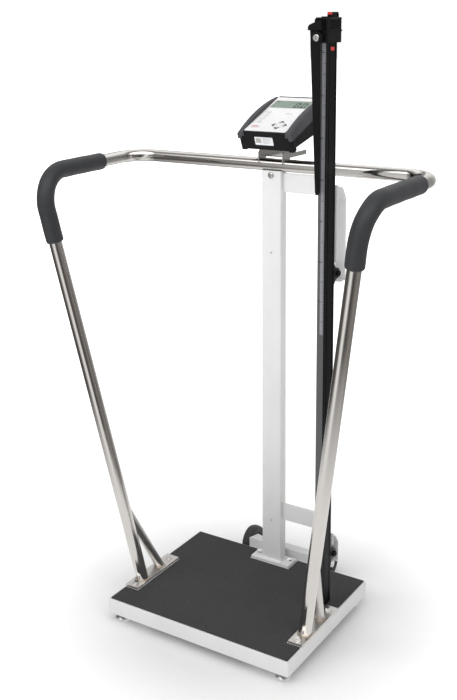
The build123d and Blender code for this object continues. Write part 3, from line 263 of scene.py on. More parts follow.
def mat_grit():
    """Rubber mat: close pebbles with painted light on their tips and painted shade in the gaps between them,
    and faint cloudy patches.
    """
    color = (0.048, 0.048, 0.050)
    mat, tree, shader = new_material("mat_grit", color, 0.72, specular=0.3)
    here = coords(tree)
    pebble = voronoi(tree, here, 620)
    cloud = noise(tree, here, 8, 6, 0.65)
    speck = noise(tree, here, 1500, 2)
    base = tints(tree, cloud, [(0.25, shade(color, 0.86)), (0.5, color), (0.75, shade(color, 1.18))])
    # Painted light and shade: the colour follows each pebble's height, lighter on its top and darker in the
    # gaps.
    pebble_painted_light_and_shade = tints(tree, pebble, [
        (0.0, shade(color, 1.5)), (0.35, shade(color, 1.05)), (0.7, shade(color, 0.55)),
    ])
    both = mix(tree, 0.55, base, pebble_painted_light_and_shade)
    grit = tints(tree, speck, [
        (0.4, shade(color, 0.8)), (0.66, shade(color, 1.1)), (0.72, shade(color, 2.2)),
    ])
    feed(tree, mix(tree, 0.35, both, grit), shader, "Base Color")
    feed(tree, spread(tree, pebble, 0.62, 0.82, 0.0, 0.6), shader, "Roughness")
    low = bump(tree, shader, noise(tree, here, 140, 3), 0.15, 0.0004)
    height = spread(tree, pebble, 1.0, 0.0, 0.0, 0.6)
    bump(tree, shader, height, 0.6, 0.0004, low)
    return mat


def anodised(name, color, rough):
    """Black anodised extrusion: fine die lines along Z."""
    mat, tree, shader = new_material(name, color, rough, metal=0.1, specular=0.11)
    here = coords(tree)
    die = noise(tree, coords(tree, (1, 1, 0.012)), 1300, 2)
    cloud = noise(tree, here, 12, 4)
    tone = mix(tree, 0.4, two_tone(tree, cloud, color, 0.85, 1.2), two_tone(tree, die, color, 0.7, 1.35))
    feed(tree, tone, shader, "Base Color")
    feed(tree, spread(tree, die, rough - 0.06, rough + 0.1), shader, "Roughness")
    bump(tree, shader, die, 0.18, 0.00004)
    return mat


def printed(name, color, rough=0.35, coat=0.0):
    """Printed film: nearly even, with a faint print grain."""
    mat, tree, shader = new_material(name, color, rough, coat=coat, coat_rough=0.15)
    here = coords(tree)
    feed(tree, two_tone(tree, noise(tree, here, 60, 4), color, 0.97, 1.02), shader, "Base Color")
    feed(tree, spread(tree, noise(tree, here, 240, 3), rough - 0.05, rough + 0.05), shader, "Roughness")
    bump(tree, shader, noise(tree, here, 1600, 1), 0.08, 0.00002)
    return mat


WHITE = powder_coat("white_coat", (0.745, 0.745, 0.745))
DARK_COAT = powder_coat("dark_coat", (0.07, 0.07, 0.075), 0.5)
TUBE = brushed("polished_tube", (0.72, 0.695, 0.665), 0.13, (1, 1, 0.03), 0.05, 0.06)
PLATE_STEEL = brushed("satin_plate", (0.66, 0.64, 0.615), 0.34, (1, 0.04, 1), strength=0.2)
BRACKET_STEEL = brushed("satin_bracket", (0.66, 0.645, 0.62), 0.30, (0.04, 1, 1), strength=0.15)
AXLE_STEEL = brushed("turned_steel", (0.62, 0.61, 0.60), 0.28, (0.05, 1, 1))
ZINC = brushed("plated_screw", (0.74, 0.73, 0.72), 0.20, (1, 1, 1))
CELL = brushed("machined_cell", (0.75, 0.76, 0.77), 0.35, (0.05, 1, 1))
FOAM = foam_skin()
GRIT = mat_grit()
FOOT_STEEL = brushed("foot_zinc", (0.62, 0.62, 0.61), 0.36, (1, 1, 0.2), strength=0.2)
TYRE = rubber("tyre_rubber", (0.030, 0.030, 0.031), 0.6, 900)
HUB = plastic("hub_plastic", (0.045, 0.047, 0.05), 0.48)
CASE = plastic("case_plastic", (0.0085, 0.0085, 0.0092), 0.48, specular=0.2)
BUMPER = plastic("bumper_plastic", (0.066, 0.065, 0.072), 0.55, specular=0.3)
NYLON = plastic("black_nylon", (0.0055, 0.0055, 0.0060), 0.48, specular=0.14)
CLAMP = plastic("clamp_nylon", (0.012, 0.012, 0.013), 0.38, specular=0.3)
RED = plastic("red_plastic", (0.62, 0.035, 0.025), 0.35)
KEY = printed("key_white", (0.80, 0.80, 0.795), 0.36)
OVERLAY = printed("overlay_white", (0.84, 0.84, 0.845), 0.36, 0.08)
LABEL = printed("label_white", (0.78, 0.80, 0.83), 0.4)
LCD = printed("lcd_grey_green", (0.225, 0.305, 0.250), 0.5)
SEGMENT = printed("lcd_segment", (0.008, 0.012, 0.018), 0.5)
INK_GREY = printed("ink_grey", (0.36, 0.36, 0.37), 0.4)
INK_PALE = printed("ink_pale", (0.40, 0.39, 0.375), 0.4)
INK_BLUE = printed("ink_blue", (0.022, 0.028, 0.065), 0.4)
INK_RED = printed("ink_red", (0.58, 0.03, 0.025), 0.35)
INK_DARK = printed("ink_dark", (0.016, 0.016, 0.018), 0.45)
TAPE = printed("tape_film", (0.078, 0.079, 0.084), 0.42)
TAPE_BAND = printed("tape_band", (0.225, 0.23, 0.25), 0.42)
BOARD = plastic("board_green", (0.02, 0.12, 0.05), 0.4)
WRAP = plastic("cell_wrap", (0.05, 0.12, 0.35), 0.35)
RODS = anodised("black_anodised", (0.0040, 0.0040, 0.0044), 0.42)
WELD = brushed("weld_bead", (0.60, 0.52, 0.44), 0.42, (1, 1, 1), strength=0.35)

WINDOW, window_tree, window_shader = new_material("window_film", (0.4, 0.44, 0.4), 0.08, specular=0.3)
window_shader.inputs["Alpha"].default_value = 0.03
bump(window_tree, window_shader, noise(window_tree, coords(window_tree), 40, 2), 0.03, 0.0002)

WEAR = (
    (WHITE, "platform_cover column rod_bracket_upper rod_bracket_lower wheel_bracket"),
    (DARK_COAT, "base_frame rail_spigot"),
    (TUBE, "handrail"),
    (PLATE_STEEL, "rail_foot_left rail_foot_right"),
    (BRACKET_STEEL, "indicator_bracket"),
    (AXLE_STEEL, "wheel_axle"),
    (ZINC, "base_bolts column_screw arm_pivot"),
    (CELL, "load_cells"),
    (FOOT_STEEL, "foot_front_left foot_front_right foot_back_left foot_back_right"),
    (CASE, "housing_base housing_cover junction_box"),
    (BUMPER, "bumper_left bumper_right"),
    (OVERLAY, "overlay"),
    (WINDOW, "lcd_window"),
    (LCD, "lcd_module"),
    (KEY, "key_nav key_power key_round_1 key_round_2 key_round_3 key_round_4"),
    (BOARD, "main_board"),
    (WRAP, "battery_pack"),
    (LABEL, "rating_label"),
    (NYLON, "cable_gland case_screws clamp_screws rod_foot rod_cap head_slider head_arm"),
    (CLAMP, "rod_clamp_upper rod_clamp_lower"),
    (RODS, "rod_outer rod_inner"),
    (TAPE, "rod_tape"),
    (RED, "rod_marker rod_pointer"),
    (TYRE, "wheel_tyre_left wheel_tyre_right"),
    (HUB, "wheel_hub_left wheel_hub_right"),
)
for mat, names in WEAR:
    for node in names.split():
        mesh = NODES[node].data
        mesh.materials.clear()
        mesh.materials.append(mat)


# ------------------------------------------------------------------ mesh helpers
def piece(name, bm, mat, body, smooth=True, sharp=35):
    """Makes an object from a bmesh and lets it ride on a body."""
    mesh = bpy.data.meshes.new(name)
    bmesh.ops.recalc_face_normals(bm, faces=bm.faces)
    bm.to_mesh(mesh)
    bm.free()
    mesh.materials.append(mat)
    if smooth:
        for polygon in mesh.polygons:
            polygon.use_smooth = True
        mesh.set_sharp_from_angle(angle=radians(sharp))
    obj = bpy.data.objects.new(name, mesh)
    bpy.context.scene.collection.objects.link(obj)
    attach(obj, body)
    return obj


def arc_route(points, radius, step=0.004):
    """Points and tangents along two straight runs joined by one round bend."""
    a, corner, b = points
    into = (corner - a).normalized()
    out = (b - corner).normalized()
    turn = into.angle(out)
    cut = radius * tan(turn / 2)
    start = corner - into * cut
    axis = into.cross(out).normalized()
    centre = start + axis.cross(into) * radius
    runs = []
    length = (start - a).length
    count = max(2, int(length / step))
    runs += [(a + into * (length * i / count), into) for i in range(count)]
    count = max(8, int(radius * turn / step))
    for i in range(count + 1):
        spin = Matrix.Rotation(turn * i / count, 3, axis)
        runs.append((centre + spin @ (start - centre), spin @ into))
    end = corner + out * cut
    length = (b - end).length
    count = max(2, int(length / step))
    runs += [(end + out * (length * i / count), out) for i in range(1, count + 1)]
    return runs, axis


def creep(s, a):
    """How the foam's skin strays from its full radius: slow waves along and round the sleeve."""
    return -0.0003 + sin(s * 95 + 2 * cos(a)) * 0.00018 + sin(s * 31 + a) * 0.00022


def sleeve(name, points, bend, outer, bore, mat, body):
    """A foam sleeve on a bent tube: rounded ends, a bore, and a skin that is not quite even."""
    sides = 56
    end_round = 0.0075
    end_steps = 6
    mouth = 0.0012
    skin = 0.001
    runs, axis = arc_route(points, bend)
    lengths = [0.0]
    for (p, _), (q, _) in zip(runs, runs[1:]):
        lengths.append(lengths[-1] + (q - p).length)
    total = lengths[-1]
    rings = []
    for step in range(end_steps + 1):
        t = step / end_steps * pi / 2
        rings.append((end_round * (1 - cos(t)), outer - end_round * (1 - sin(t))))
    stations = [(mouth, bore)] + rings
    stations += [(s, outer) for s in lengths if end_round + 0.002 < s < total - end_round - 0.002]
    stations += [(total - s, r) for s, r in reversed(rings)]
    stations += [(total - mouth, bore)]
    stations += [(s, bore) for s in reversed(lengths) if 0.004 < s < total - 0.004]

    def at(s):
        """The point and the tangent at a distance along the sleeve."""
        s = min(max(s, 0.0), total)
        for i in range(len(lengths) - 1):
            if s <= lengths[i + 1]:
                f = (s - lengths[i]) / max(1e-9, lengths[i + 1] - lengths[i])
                return runs[i][0].lerp(runs[i + 1][0], f), runs[i][1].lerp(runs[i + 1][1], f).normalized()
        return runs[-1]

    bm = bmesh.new()
    loops = []
    for s, r in stations:
        p, tangent = at(s)
        inward = axis.cross(tangent).normalized()
        loop = []
        for k in range(sides):
            a = 2 * pi * k / sides
            way = axis * cos(a) + inward * sin(a)
            stray = creep(s, a) if r > outer - skin else 0.0
            loop.append(bm.verts.new(p + way * (r + stray)))
        loops.append(loop)
    for one, two in zip(loops, loops[1:] + loops[:1]):
        for k in range(sides):
            bm.faces.new((one[k], one[(k + 1) % sides], two[(k + 1) % sides], two[k]))
    return piece(name, bm, mat, body, sharp=60)


def bead(name, ring, width, mat, body):
    """A rippled weld bead along a closed ring of (point, up) pairs."""
    sides = 8
    ripple = 0.16
    flat = 0.8
    bm = bmesh.new()
    loops = []
    count = len(ring)
    for i, (p, up) in enumerate(ring):
        q = ring[(i + 1) % count][0]
        run = (q - p).normalized()
        out = run.cross(up).normalized()
        swell = width * (1 + ripple * sin(i * 2.1))
        loop = []
        for k in range(sides):
            a = 2 * pi * k / sides
            loop.append(bm.verts.new(p + out * cos(a) * swell + up * sin(a) * swell * flat))
        loops.append(loop)
    for one, two in zip(loops, loops[1:] + loops[:1]):
        for k in range(sides):
            bm.faces.new((one[k], one[(k + 1) % sides], two[(k + 1) % sides], two[k]))
    return piece(name, bm, mat, body)


def slab(bm, outline, origin, across, along, out, low, high):
    """Adds a thin closed slab with a flat outline given in a plane's own directions."""
    lows = [bm.verts.new(origin + across * x + along * y + out * low) for x, y in outline]
    highs = [bm.verts.new(origin + across * x + along * y + out * high) for x, y in outline]
    bm.faces.new(highs)
    bm.faces.new(list(reversed(lows)))
    count = len(outline)
    for i in range(count):
        j = (i + 1) % count
        bm.faces.new((lows[i], lows[j], highs[j], highs[i]))


def ring_slab(bm, outer, inner, origin, across, along, out, low, high):
    """Adds a thin closed band between two outlines with the same number of points."""
    count = len(outer)
    rows = []
    for outline, level in ((outer, high), (inner, high), (inner, low), (outer, low)):
        rows.append([bm.verts.new(origin + across * x + along * y + out * level) for x, y in outline])
    for a, b in zip(rows, rows[1:] + rows[:1]):
        for i in range(count):
            j = (i + 1) % count
            bm.faces.new((a[i], a[j], b[j], b[i]))


def stadium(cx, cy, half_len, half_w, count=16):
    """Outline of a slot that is longer across."""
    points = []
    for i in range(count + 1):
        a = -pi / 2 + pi * i / count
        points.append((cx + half_len - half_w + half_w * cos(a), cy + half_w * sin(a)))
    for i in range(count + 1):
        a = pi / 2 + pi * i / count
        points.append((cx - half_len + half_w + half_w * cos(a), cy + half_w * sin(a)))
    return points


def box_outline(cx, cy, width, height):
    """Outline of a rectangle round its centre."""
    left, right = cx - width / 2, cx + width / 2
    bottom, top = cy - height / 2, cy + height / 2
    return [(left, bottom), (right, bottom), (right, top), (left, top)]


def circle(cx, cy, r, count=40):
    """Outline of a circle."""
    return [(cx + r * cos(2 * pi * i / count), cy + r * sin(2 * pi * i / count)) for i in range(count)]


# ------------------------------------------------------------------ soft pieces
# Corners of the handrail's centre line on the right side, in metres.
RAIL_BACK = (0.456, 0.190, 1.200)
RAIL_FRONT = (0.451, -0.223, 1.197)
RAIL_FOOT = (0.254, -0.096, 0.0695)
RAIL_BEND = 0.085
RAIL_RADIUS = 0.01685
GRIP_RADIUS = 0.023
GRIP_BORE = 0.01705
BRACE_FOOT = (0.254, -0.015, 0.0695)
BRACE_TOP_Z = 0.287
BRACE_RADIUS = 0.0125


def on_side(side, point):
    """A point of the right side, or its mirror on the left."""
    x, y, z = point
    return Vector((-x if side == "left" else x, y, z))


def grip(side, rear_y, low_z):
    """The foam on the handrail's front bend on one side, from rear_y forward and down to low_z."""
    back, front, foot = [on_side(side, p) for p in (RAIL_BACK, RAIL_FRONT, RAIL_FOOT)]
    rear = front.lerp(back, (rear_y - front.y) / (back.y - front.y))
    low = front.lerp(foot, (low_z - front.z) / (foot.z - front.z))
    node = "grip_" + side
    obj = sleeve("foam_" + node, (rear, front, low), RAIL_BEND, GRIP_RADIUS, GRIP_BORE, FOAM, ROOT)
    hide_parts(node)


grip("left", 0.035, 1.020)
grip("right", 0.078, 1.055)


def from_node(node, name, mat, body, bevel):
    """A new piece from a node's shape, with its flat faces joined and its top edges rounded."""
    mesh = NODES[node].data.copy()
    mesh.materials.clear()
    bm = bmesh.new()
    bm.from_mesh(mesh)
    bmesh.ops.remove_doubles(bm, verts=bm.verts, dist=0.00001)
    bmesh.ops.dissolve_limit(bm, angle_limit=radians(2), verts=bm.verts, edges=bm.edges)
    edges = [e for e in bm.edges if len(e.link_faces) == 2 and e.calc_face_angle(0) > radians(50)]
    top = max(v.co.z for v in bm.verts)
    edges = [e for e in edges if all(v.co.z > top - 0.0001 for v in e.verts)]
    bmesh.ops.bevel(bm, geom=edges, offset=bevel, segments=3, profile=0.6, affect="EDGES")
    obj = piece(name, bm, mat, body)
    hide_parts(node)
    return obj


mat_piece = from_node("platform_mat", "standing_mat", GRIT, ROOT, 0.0012)


# ------------------------------------------------------------------ indicator graphics
# The face's directions are ACROSS to the right, UP along its slope and OUT against the keys' travel.
# Places on it are in millimetres from FACE, the middle of the overlay's lower edge.
OVERLAY_THICK = 0.0008
press = Vector(JOINTS["key_power_press"]["axis"])
OUT = -press.normalized()
ACROSS = Vector((1, 0, 0))
UP = OUT.cross(ACROSS).normalized()
low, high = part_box("overlay")
slope_length = (high.y - low.y - OVERLAY_THICK * press.y) / UP.y
FACE = Vector((0, low.y, high.z - slope_length * UP.z))
PRINT_LEVELS = (0.0, 0.03)
KEY_LEVELS = (0.5, 0.53)
DIGIT_LEVELS = (-0.99, -0.95)


def face_piece(name, mat, body, shapes, levels):
    """Thin printed shapes on the indicator's face, each an outline or an (outer, inner) pair of outlines."""
    bm = bmesh.new()
    for shape in shapes:
        if isinstance(shape[0], list):
            outer, inner = shape
            ring_slab(bm, outer, inner, FACE, ACROSS * MM, UP * MM, OUT * MM, *levels)
        else:
            slab(bm, shape, FACE, ACROSS * MM, UP * MM, OUT * MM, *levels)
    return piece(name, bm, mat, body, smooth=False)


def zero(cx, cy, width, height, t):
    """The six slanted strokes of a seven-segment zero, t thick."""
    lean = 0.16
    gap = 0.35
    hw, hh = width / 2, height / 2
    long_end, short_end = hw - gap - t * 0.4, hw - gap - t
    top = [(-long_end, hh), (long_end, hh), (short_end, hh - t), (-short_end, hh - t)]
    upper_right = [(hw, hh - gap), (hw, gap), (hw - t, gap + t * 0.5), (hw - t, hh - gap - t)]
    lower_right = [(hw, -gap), (hw, -hh + gap), (hw - t, -hh + gap + t), (hw - t, -gap - t * 0.5)]
    bottom = [(-x, -y) for x, y in top]
    lower_left = [(-x, -y) for x, y in upper_right]
    upper_left = [(-x, -y) for x, y in lower_right]
    strokes = (top, upper_right, lower_right, bottom, lower_left, upper_left)
    return [[(cx + x + lean * y, cy + y) for x, y in stroke] for stroke in strokes]


# Two zeros, a decimal point and a small battery mark, in the display behind the window.
DIGITS_ACROSS = (18.5, 39.0)
DIGIT_UP = 153.0
DIGIT_WIDTH = 14.5
DIGIT_HEIGHT = 27.0
DIGIT_STROKE = 4.3
strokes = []
for across in DIGITS_ACROSS:
    strokes += zero(across, DIGIT_UP, DIGIT_WIDTH, DIGIT_HEIGHT, DIGIT_STROKE)
decimal_point = [(26.6, 139.0), (30.0, 139.0), (30.4, 142.8), (27.0, 142.8)]
battery_mark = box_outline(-47.0, 170.25, 6.0, 2.5)
face_piece("display_digits", SEGMENT, ROOT, strokes + [decimal_point, battery_mark], DIGIT_LEVELS)

# Line printed round the display window.
border = (box_outline(0.0, 154.0, 112.0, 43.6), box_outline(0.0, 154.0, 108.0, 40.0))
face_piece("display_border", INK_PALE, ROOT, [border], PRINT_LEVELS)

# Small pale mark in the middle of the overlay.
face_piece("overlay_mark", INK_PALE, ROOT, [stadium(20.5, 101, 10.5, 1.3, 6)], PRINT_LEVELS)


def key_art(node, name, mat, shapes):
    """Print on top of a key cap, which it rides on."""
    face_piece(name, mat, "cap_" + node, shapes, KEY_LEVELS)


# The four round keys: a ring each, and a dot, a bar, a triangle and two bars.
ROUND_ACROSS = -42.0
ROUND_UP = (50.0, 68.0, 86.0, 104.0)
for number, u in enumerate(ROUND_UP, start=1):
    x = ROUND_ACROSS
    node = f"key_round_{number}"
    key_art(node, f"round_ring_{number}", INK_PALE, [(circle(x, u, 6.5), circle(x, u, 5.6))])
    icon = {
        1: [circle(x, u, 2.0, 20)],
        2: [box_outline(x, u, 5.0, 1.4)],
        3: [[(x - 2.0, u - 2.0), (x + 2.0, u - 2.0), (x, u + 2.4)]],
        4: [box_outline(x, u + 1.2, 5.0, 1.2), box_outline(x, u - 1.2, 5.0, 1.2)],
    }[number]
    key_art(node, f"round_icon_{number}", INK_GREY, icon)

# The power key: a ring and a red sweep.
POWER_KEY = (-40.0, 22.0)
power_ring = (stadium(*POWER_KEY, 11.8, 6.3), stadium(*POWER_KEY, 11.0, 5.5))
power_sweep = [
    (-50.6, 19.0), (-50.2, 23.6), (-46.5, 26.9), (-33.0, 27.1), (-30.6, 24.6), (-38.5, 22.8), (-46.5, 21.4),
]
key_art("key_power", "power_ring", INK_PALE, [power_ring])
key_art("key_power", "power_flash", INK_RED, [power_sweep])

# The navigation key: a dark angle toward each side, a ring, and four small arrows.
NAV_KEY = (24.5, 37.0)
ANGLE_HALF = 16.4
ANGLE_ARM = 11.6
ANGLE_THICK = 5.2
QUARTERS = (0, 90, 180, 270)


def turned(points, degrees):
    """Points round the navigation key's middle, turned about it."""
    a = radians(degrees)
    cx, cy = NAV_KEY
    return [(cx + x * cos(a) - y * sin(a), cy + x * sin(a) + y * cos(a)) for x, y in points]


outside = ANGLE_HALF
inside = ANGLE_HALF - ANGLE_THICK
tip = ANGLE_HALF - ANGLE_ARM
angle = [(outside, outside), (tip, outside), (tip, inside), (inside, inside), (inside, tip), (outside, tip)]
arrow = [(11.8, -2.0), (14.2, 0.0), (11.8, 2.0)]
key_art("key_nav", "nav_corners", INK_BLUE, [turned(angle, 45 + quarter) for quarter in QUARTERS])
key_art("key_nav", "nav_ring", INK_PALE, [(circle(*NAV_KEY, 8.6), circle(*NAV_KEY, 7.7))])
key_art("key_nav", "nav_arrows", INK_GREY, [turned(arrow, quarter) for quarter in QUARTERS])

# Generic lines and a block on the rating label, on the case's front face.
LINE_LENGTHS = (28, 22, 26, 18, 24, 14)
LINE_START = -8.0
LINE_TOP = -3.65
LINE_PITCH = 3.0
LINE_HEIGHT = 0.9
label_low, label_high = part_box("rating_label")
label_top = Vector((0, label_low.y, label_high.z))
shapes = [box_outline(-20.0, -10.5, 16.0, 13.0)]
for row, length in enumerate(LINE_LENGTHS):
    shapes.append(box_outline(LINE_START + length / 2, LINE_TOP - row * LINE_PITCH, length, LINE_HEIGHT))
bm = bmesh.new()
for shape in shapes:
    slab(bm, shape, label_top, ACROSS * MM, OUT * MM, -UP * MM, 0.3, 0.33)
piece("label_print", bm, INK_PALE, ROOT, smooth=False)


# ------------------------------------------------------------------ rod graphics
# A pale band along the tape's right edge with a mark each 5 mm, and a number each 100 mm beside it.
RULE_LOW = 0.82
RULE_MARGIN = 0.004
RULE_STEP = 0.005
FIRST_LONG = 6
BAND_OUTER = -0.4
BAND_INNER = -10.2
BAND_TOP_GAP = 6.0
NUMBER_SIZE = 0.0072
NUMBER_ACROSS = 0.0052
NUMBER_THICK = 0.00002
tape_low, tape_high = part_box("rod_tape")
tape_edge = Vector((tape_high.x, tape_low.y, 0))
TAPE_UP = Vector((0, 0, MM))
TAPE_OUT = Vector((0, -MM, 0))
band_height = (tape_high.z - RULE_LOW + RULE_MARGIN) / MM - BAND_TOP_GAP
band = [(BAND_INNER, 0), (BAND_OUTER, 0), (BAND_OUTER, band_height), (BAND_INNER, band_height)]
band_foot = tape_edge + Vector((0, 0, RULE_LOW - RULE_MARGIN))
bm = bmesh.new()
slab(bm, band, band_foot, ACROSS * MM, TAPE_UP, TAPE_OUT, 0.0, 0.02)
piece("rule_band", bm, TAPE_BAND, ROOT, smooth=False)

bm = bmesh.new()
for step in range(int((tape_high.z - RULE_MARGIN - RULE_LOW) / RULE_STEP) + 1):
    if step % 10 == FIRST_LONG:
        reach, tall = 7.0, 1.6
    elif step % 5 == FIRST_LONG % 5:
        reach, tall = 5.2, 1.6
    else:
        reach, tall = 3.4, 1.7
    mark = [(-reach, -tall), (0, -tall), (0, 0), (-reach, 0)]
    spot = tape_edge + Vector((0, 0, RULE_LOW + step * RULE_STEP))
    slab(bm, mark, spot, ACROSS * MM, TAPE_UP, TAPE_OUT, 0.0, 0.04)
piece("rule_ticks", bm, INK_DARK, ROOT, smooth=False)

for decade in range(9, 16):
    curve = bpy.data.curves.new(f"rule_number_{decade}", "FONT")
    curve.body = str(decade * 10)
    curve.size = NUMBER_SIZE
    curve.align_x = "CENTER"
    curve.align_y = "CENTER"
    curve.extrude = NUMBER_THICK
    obj = bpy.data.objects.new(f"rule_number_{decade}", curve)
    bpy.context.scene.collection.objects.link(obj)
    spot = Vector((tape_low.x + NUMBER_ACROSS, tape_low.y - 1.5 * NUMBER_THICK, decade * 0.1))
    obj.matrix_world = Matrix.Translation(spot) @ Matrix.Rotation(radians(90), 4, "X")
    curve.materials.append(INK_DARK)
    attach(obj, ROOT)


# ------------------------------------------------------------------ welds
WELD_POINTS = 64
WELD_RADIUS = 0.0022
WELD_GAP = 0.0006
WELD_LIFT = 0.0008


def leg_weld(side):
    """Beads where the leg and its brace meet the foot plate, level with the plate."""
    up = Vector((0, 0, 1))
    front, foot, brace_foot = [on_side(side, p) for p in (RAIL_FRONT, RAIL_FOOT, BRACE_FOOT)]
    brace_top = front.lerp(foot, (front.z - BRACE_TOP_Z) / (front.z - foot.z))
    for label, centre, top, radius in (
        ("leg", foot, front, RAIL_RADIUS),
        ("brace", brace_foot, brace_top, BRACE_RADIUS),
    ):
        direction = (top - centre).normalized()
        first = direction.cross(up).normalized()
        second = direction.cross(first).normalized()
        ring = []
        for i in range(WELD_POINTS):
            a = 2 * pi * i / WELD_POINTS
            p = centre + (first * cos(a) + second * sin(a)) * (radius + WELD_GAP)
            p = p - direction * ((p.z - centre.z) / direction.z)
            ring.append((p + up * WELD_LIFT, up))
        bead(f"weld_{label}_{side}", ring, WELD_RADIUS, WELD, ROOT)


leg_weld("left")
leg_weld("right")


# ------------------------------------------------------------------ stage, light and camera
VIEW_SIDE = radians(-57.9)
FLOOR_HALF = 30
FLOOR_DROP = 0.0002


def grey(value):
    """A neutral light value."""
    return (value, value, value)


def warm(value):
    """A light value with a little less green and blue."""
    return (value, value * 0.93, value * 0.87)


def toward_camera_side(tree, x, y):
    """The part of a horizontal direction that points to the side where the camera stands."""
    return math_node(tree, "ADD", math_node(tree, "MULTIPLY", x, cos(VIEW_SIDE)),
                     math_node(tree, "MULTIPLY", y, sin(VIEW_SIDE)))


def studio_walls(tree, x, y):
    """Strip lights and dark flags round the object, by bearing.

    Bearing 0.5 is the camera's side, and 0 and 1 are straight behind the object.
    """
    turn_x = toward_camera_side(tree, x, y)
    turn_y = math_node(tree, "SUBTRACT", math_node(tree, "MULTIPLY", y, cos(VIEW_SIDE)),
                       math_node(tree, "MULTIPLY", x, sin(VIEW_SIDE)))
    bearing = spread(tree, math_node(tree, "ARCTAN2", turn_y, turn_x), 0.0, 1.0, -pi, pi)
    return tints(tree, bearing, [
        (0.00, grey(0.35)), (0.06, grey(0.30)), (0.12, warm(0.05)), (0.30, warm(0.12)), (0.35, grey(0.75)),
        (0.39, grey(1.0)), (0.44, grey(1.0)), (0.475, grey(0.22)), (0.52, warm(0.05)), (0.58, warm(0.14)),
        (0.66, warm(0.27)), (0.74, warm(0.24)), (0.80, grey(0.22)), (0.88, grey(0.45)), (0.94, grey(0.9)),
    ])


def white_floor():
    """A white floor that glows away from the object, so it runs into the white background; its glow is dimmed
    close to the object, a painted shadow round it.
    """
    bm = bmesh.new()
    bmesh.ops.create_grid(bm, x_segments=1, y_segments=1, size=FLOOR_HALF)
    mesh = bpy.data.meshes.new("floor")
    bm.to_mesh(mesh)
    bm.free()
    obj = bpy.data.objects.new("floor", mesh)
    obj.location.z = CAD_BOX[0][2] - FLOOR_DROP
    bpy.context.scene.collection.objects.link(obj)
    mat, tree, shader = new_material("floor_white", grey(0.74), 0.9, specular=0.1)
    here = coords(tree)
    length = tree.nodes.new("ShaderNodeVectorMath")
    length.operation = "LENGTH"
    tree.links.new(here, length.inputs[0])
    distance = length.outputs["Value"]
    # Painted shadow: the glow is lowest within 0.28 m of the middle and rises to full by 0.62 m.
    glow_dimmed_as_painted_shadow = spread(tree, distance, 0.09, 0.52, 0.28, 0.62)
    far_glow = spread(tree, distance, 0.0, 0.7, 0.95, 3.0)
    shader.inputs["Emission Color"].default_value = (1, 1, 1, 1)
    feed(tree, math_node(tree, "ADD", glow_dimmed_as_painted_shadow, far_glow), shader, "Emission Strength")
    # Painted reflection: in reflections it shows a glowing grey near the object and, farther off, the same
    # flags and strip lights as the room, in place of its own shading.
    split = tree.nodes.new("ShaderNodeSeparateXYZ")
    tree.links.new(here, split.inputs["Vector"])
    far_off = spread(tree, distance, 0.0, 1.0, 0.75, 1.5)
    painted_room_reflection = mix(tree, far_off, grey(0.95), studio_walls(tree, split.outputs["X"], split.outputs["Y"]))
    glow = tree.nodes.new("ShaderNodeEmission")
    tree.links.new(painted_room_reflection, glow.inputs["Color"])
    rays = tree.nodes.new("ShaderNodeLightPath")
    chooser = tree.nodes.new("ShaderNodeMixShader")
    tree.links.new(rays.outputs["Is Glossy Ray"], chooser.inputs[0])
    tree.links.new(shader.outputs["BSDF"], chooser.inputs[1])
    tree.links.new(glow.outputs["Emission"], chooser.inputs[2])
    tree.links.new(chooser.outputs["Shader"], tree.nodes["Material Output"].inputs["Surface"])
    mesh.materials.append(mat)
    return obj


floor = white_floor()


def area_light(name, spot, target, size, watts):
    """A soft rectangular light that reflections don't show."""
    light = bpy.data.lights.new(name, "AREA")
    light.shape = "RECTANGLE"
    light.size, light.size_y = size
    light.energy = watts
    obj = bpy.data.objects.new(name, light)
    obj.location = spot
    aim = Vector(target) - Vector(spot)
    obj.rotation_euler = aim.to_track_quat("-Z", "Y").to_euler()
    obj.visible_glossy = False
    bpy.context.scene.collection.objects.link(obj)


area_light("key_soft", (-2.4, -2.8, 3.0), (0, 0, 0.8), (2.2, 2.2), 56)
area_light("side_soft", (3.2, -1.2, 2.0), (0, 0, 0.9), (1.6, 2.4), 21)
area_light("top_soft", (0.3, -0.6, 4.0), (0, 0, 0), (3.0, 3.0), 40)

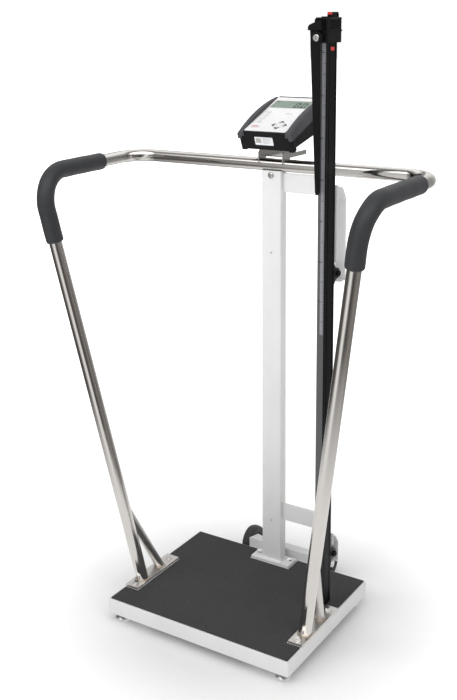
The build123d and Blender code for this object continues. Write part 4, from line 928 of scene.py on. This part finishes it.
# The room: white to the camera, and for light and reflections strip lights, dark flags and a soft ceiling.
CEILING_SHINE = 2.6
world = bpy.data.worlds.new("studio")
bpy.context.scene.world = world
world.use_nodes = True
tree = world.node_tree
background = tree.nodes["Background"]
source = tree.nodes.new("ShaderNodeTexCoord")
split = tree.nodes.new("ShaderNodeSeparateXYZ")
tree.links.new(source.outputs["Generated"], split.inputs["Vector"])
walls = studio_walls(tree, split.outputs["X"], split.outputs["Y"])
front = spread(tree, toward_camera_side(tree, split.outputs["X"], split.outputs["Y"]), 0.0, 1.0, -1.0, 1.0)
ceiling = tints(tree, front, [
    (0.0, grey(0.5)), (0.25, grey(0.45)), (0.42, grey(0.10)),
    (0.56, grey(0.13)), (0.63, grey(1.0)), (0.95, grey(1.0)),
])
high_up = spread(tree, split.outputs["Z"], 0.0, 1.0, 0.42, 0.62)
rays = tree.nodes.new("ShaderNodeLightPath")
shining = mix(tree, 1.0, ceiling, grey(CEILING_SHINE), "MULTIPLY")
ceiling = mix(tree, rays.outputs["Is Glossy Ray"], ceiling, shining)
room = mix(tree, high_up, walls, ceiling)
tree.links.new(mix(tree, rays.outputs["Is Camera Ray"], room, grey(1.0)), background.inputs["Color"])
background.inputs["Strength"].default_value = 1.0

# The camera, with its angles in radians: it looks down the yaw and pitch, then rolls.
CAMERA_SPOT = (1.3724, -2.1929, 1.5941)
YAW, PITCH, ROLL = 0.5680, 0.2176, -0.0097
forward = Vector((-sin(YAW) * cos(PITCH), cos(YAW) * cos(PITCH), -sin(PITCH)))
right = Vector((cos(YAW), sin(YAW), 0))
lift = right.cross(forward)
right = right * cos(ROLL) + lift * sin(ROLL)
lift = right.cross(forward)
turn = Matrix((right, lift, -forward)).transposed()
camera_data = bpy.data.cameras.new("camera")
camera = bpy.data.objects.new("camera", camera_data)
camera.matrix_world = Matrix.Translation(CAMERA_SPOT) @ turn.to_4x4()
bpy.context.scene.collection.objects.link(camera)
camera_data.sensor_fit = "AUTO"
camera_data.sensor_width = 36
camera_data.lens = 54.18
camera_data.shift_x = 0.0018
camera_data.shift_y = -0.1508
camera_data.clip_end = 100
bpy.context.scene.camera = camera
bpy.context.scene.view_settings.view_transform = "Standard"
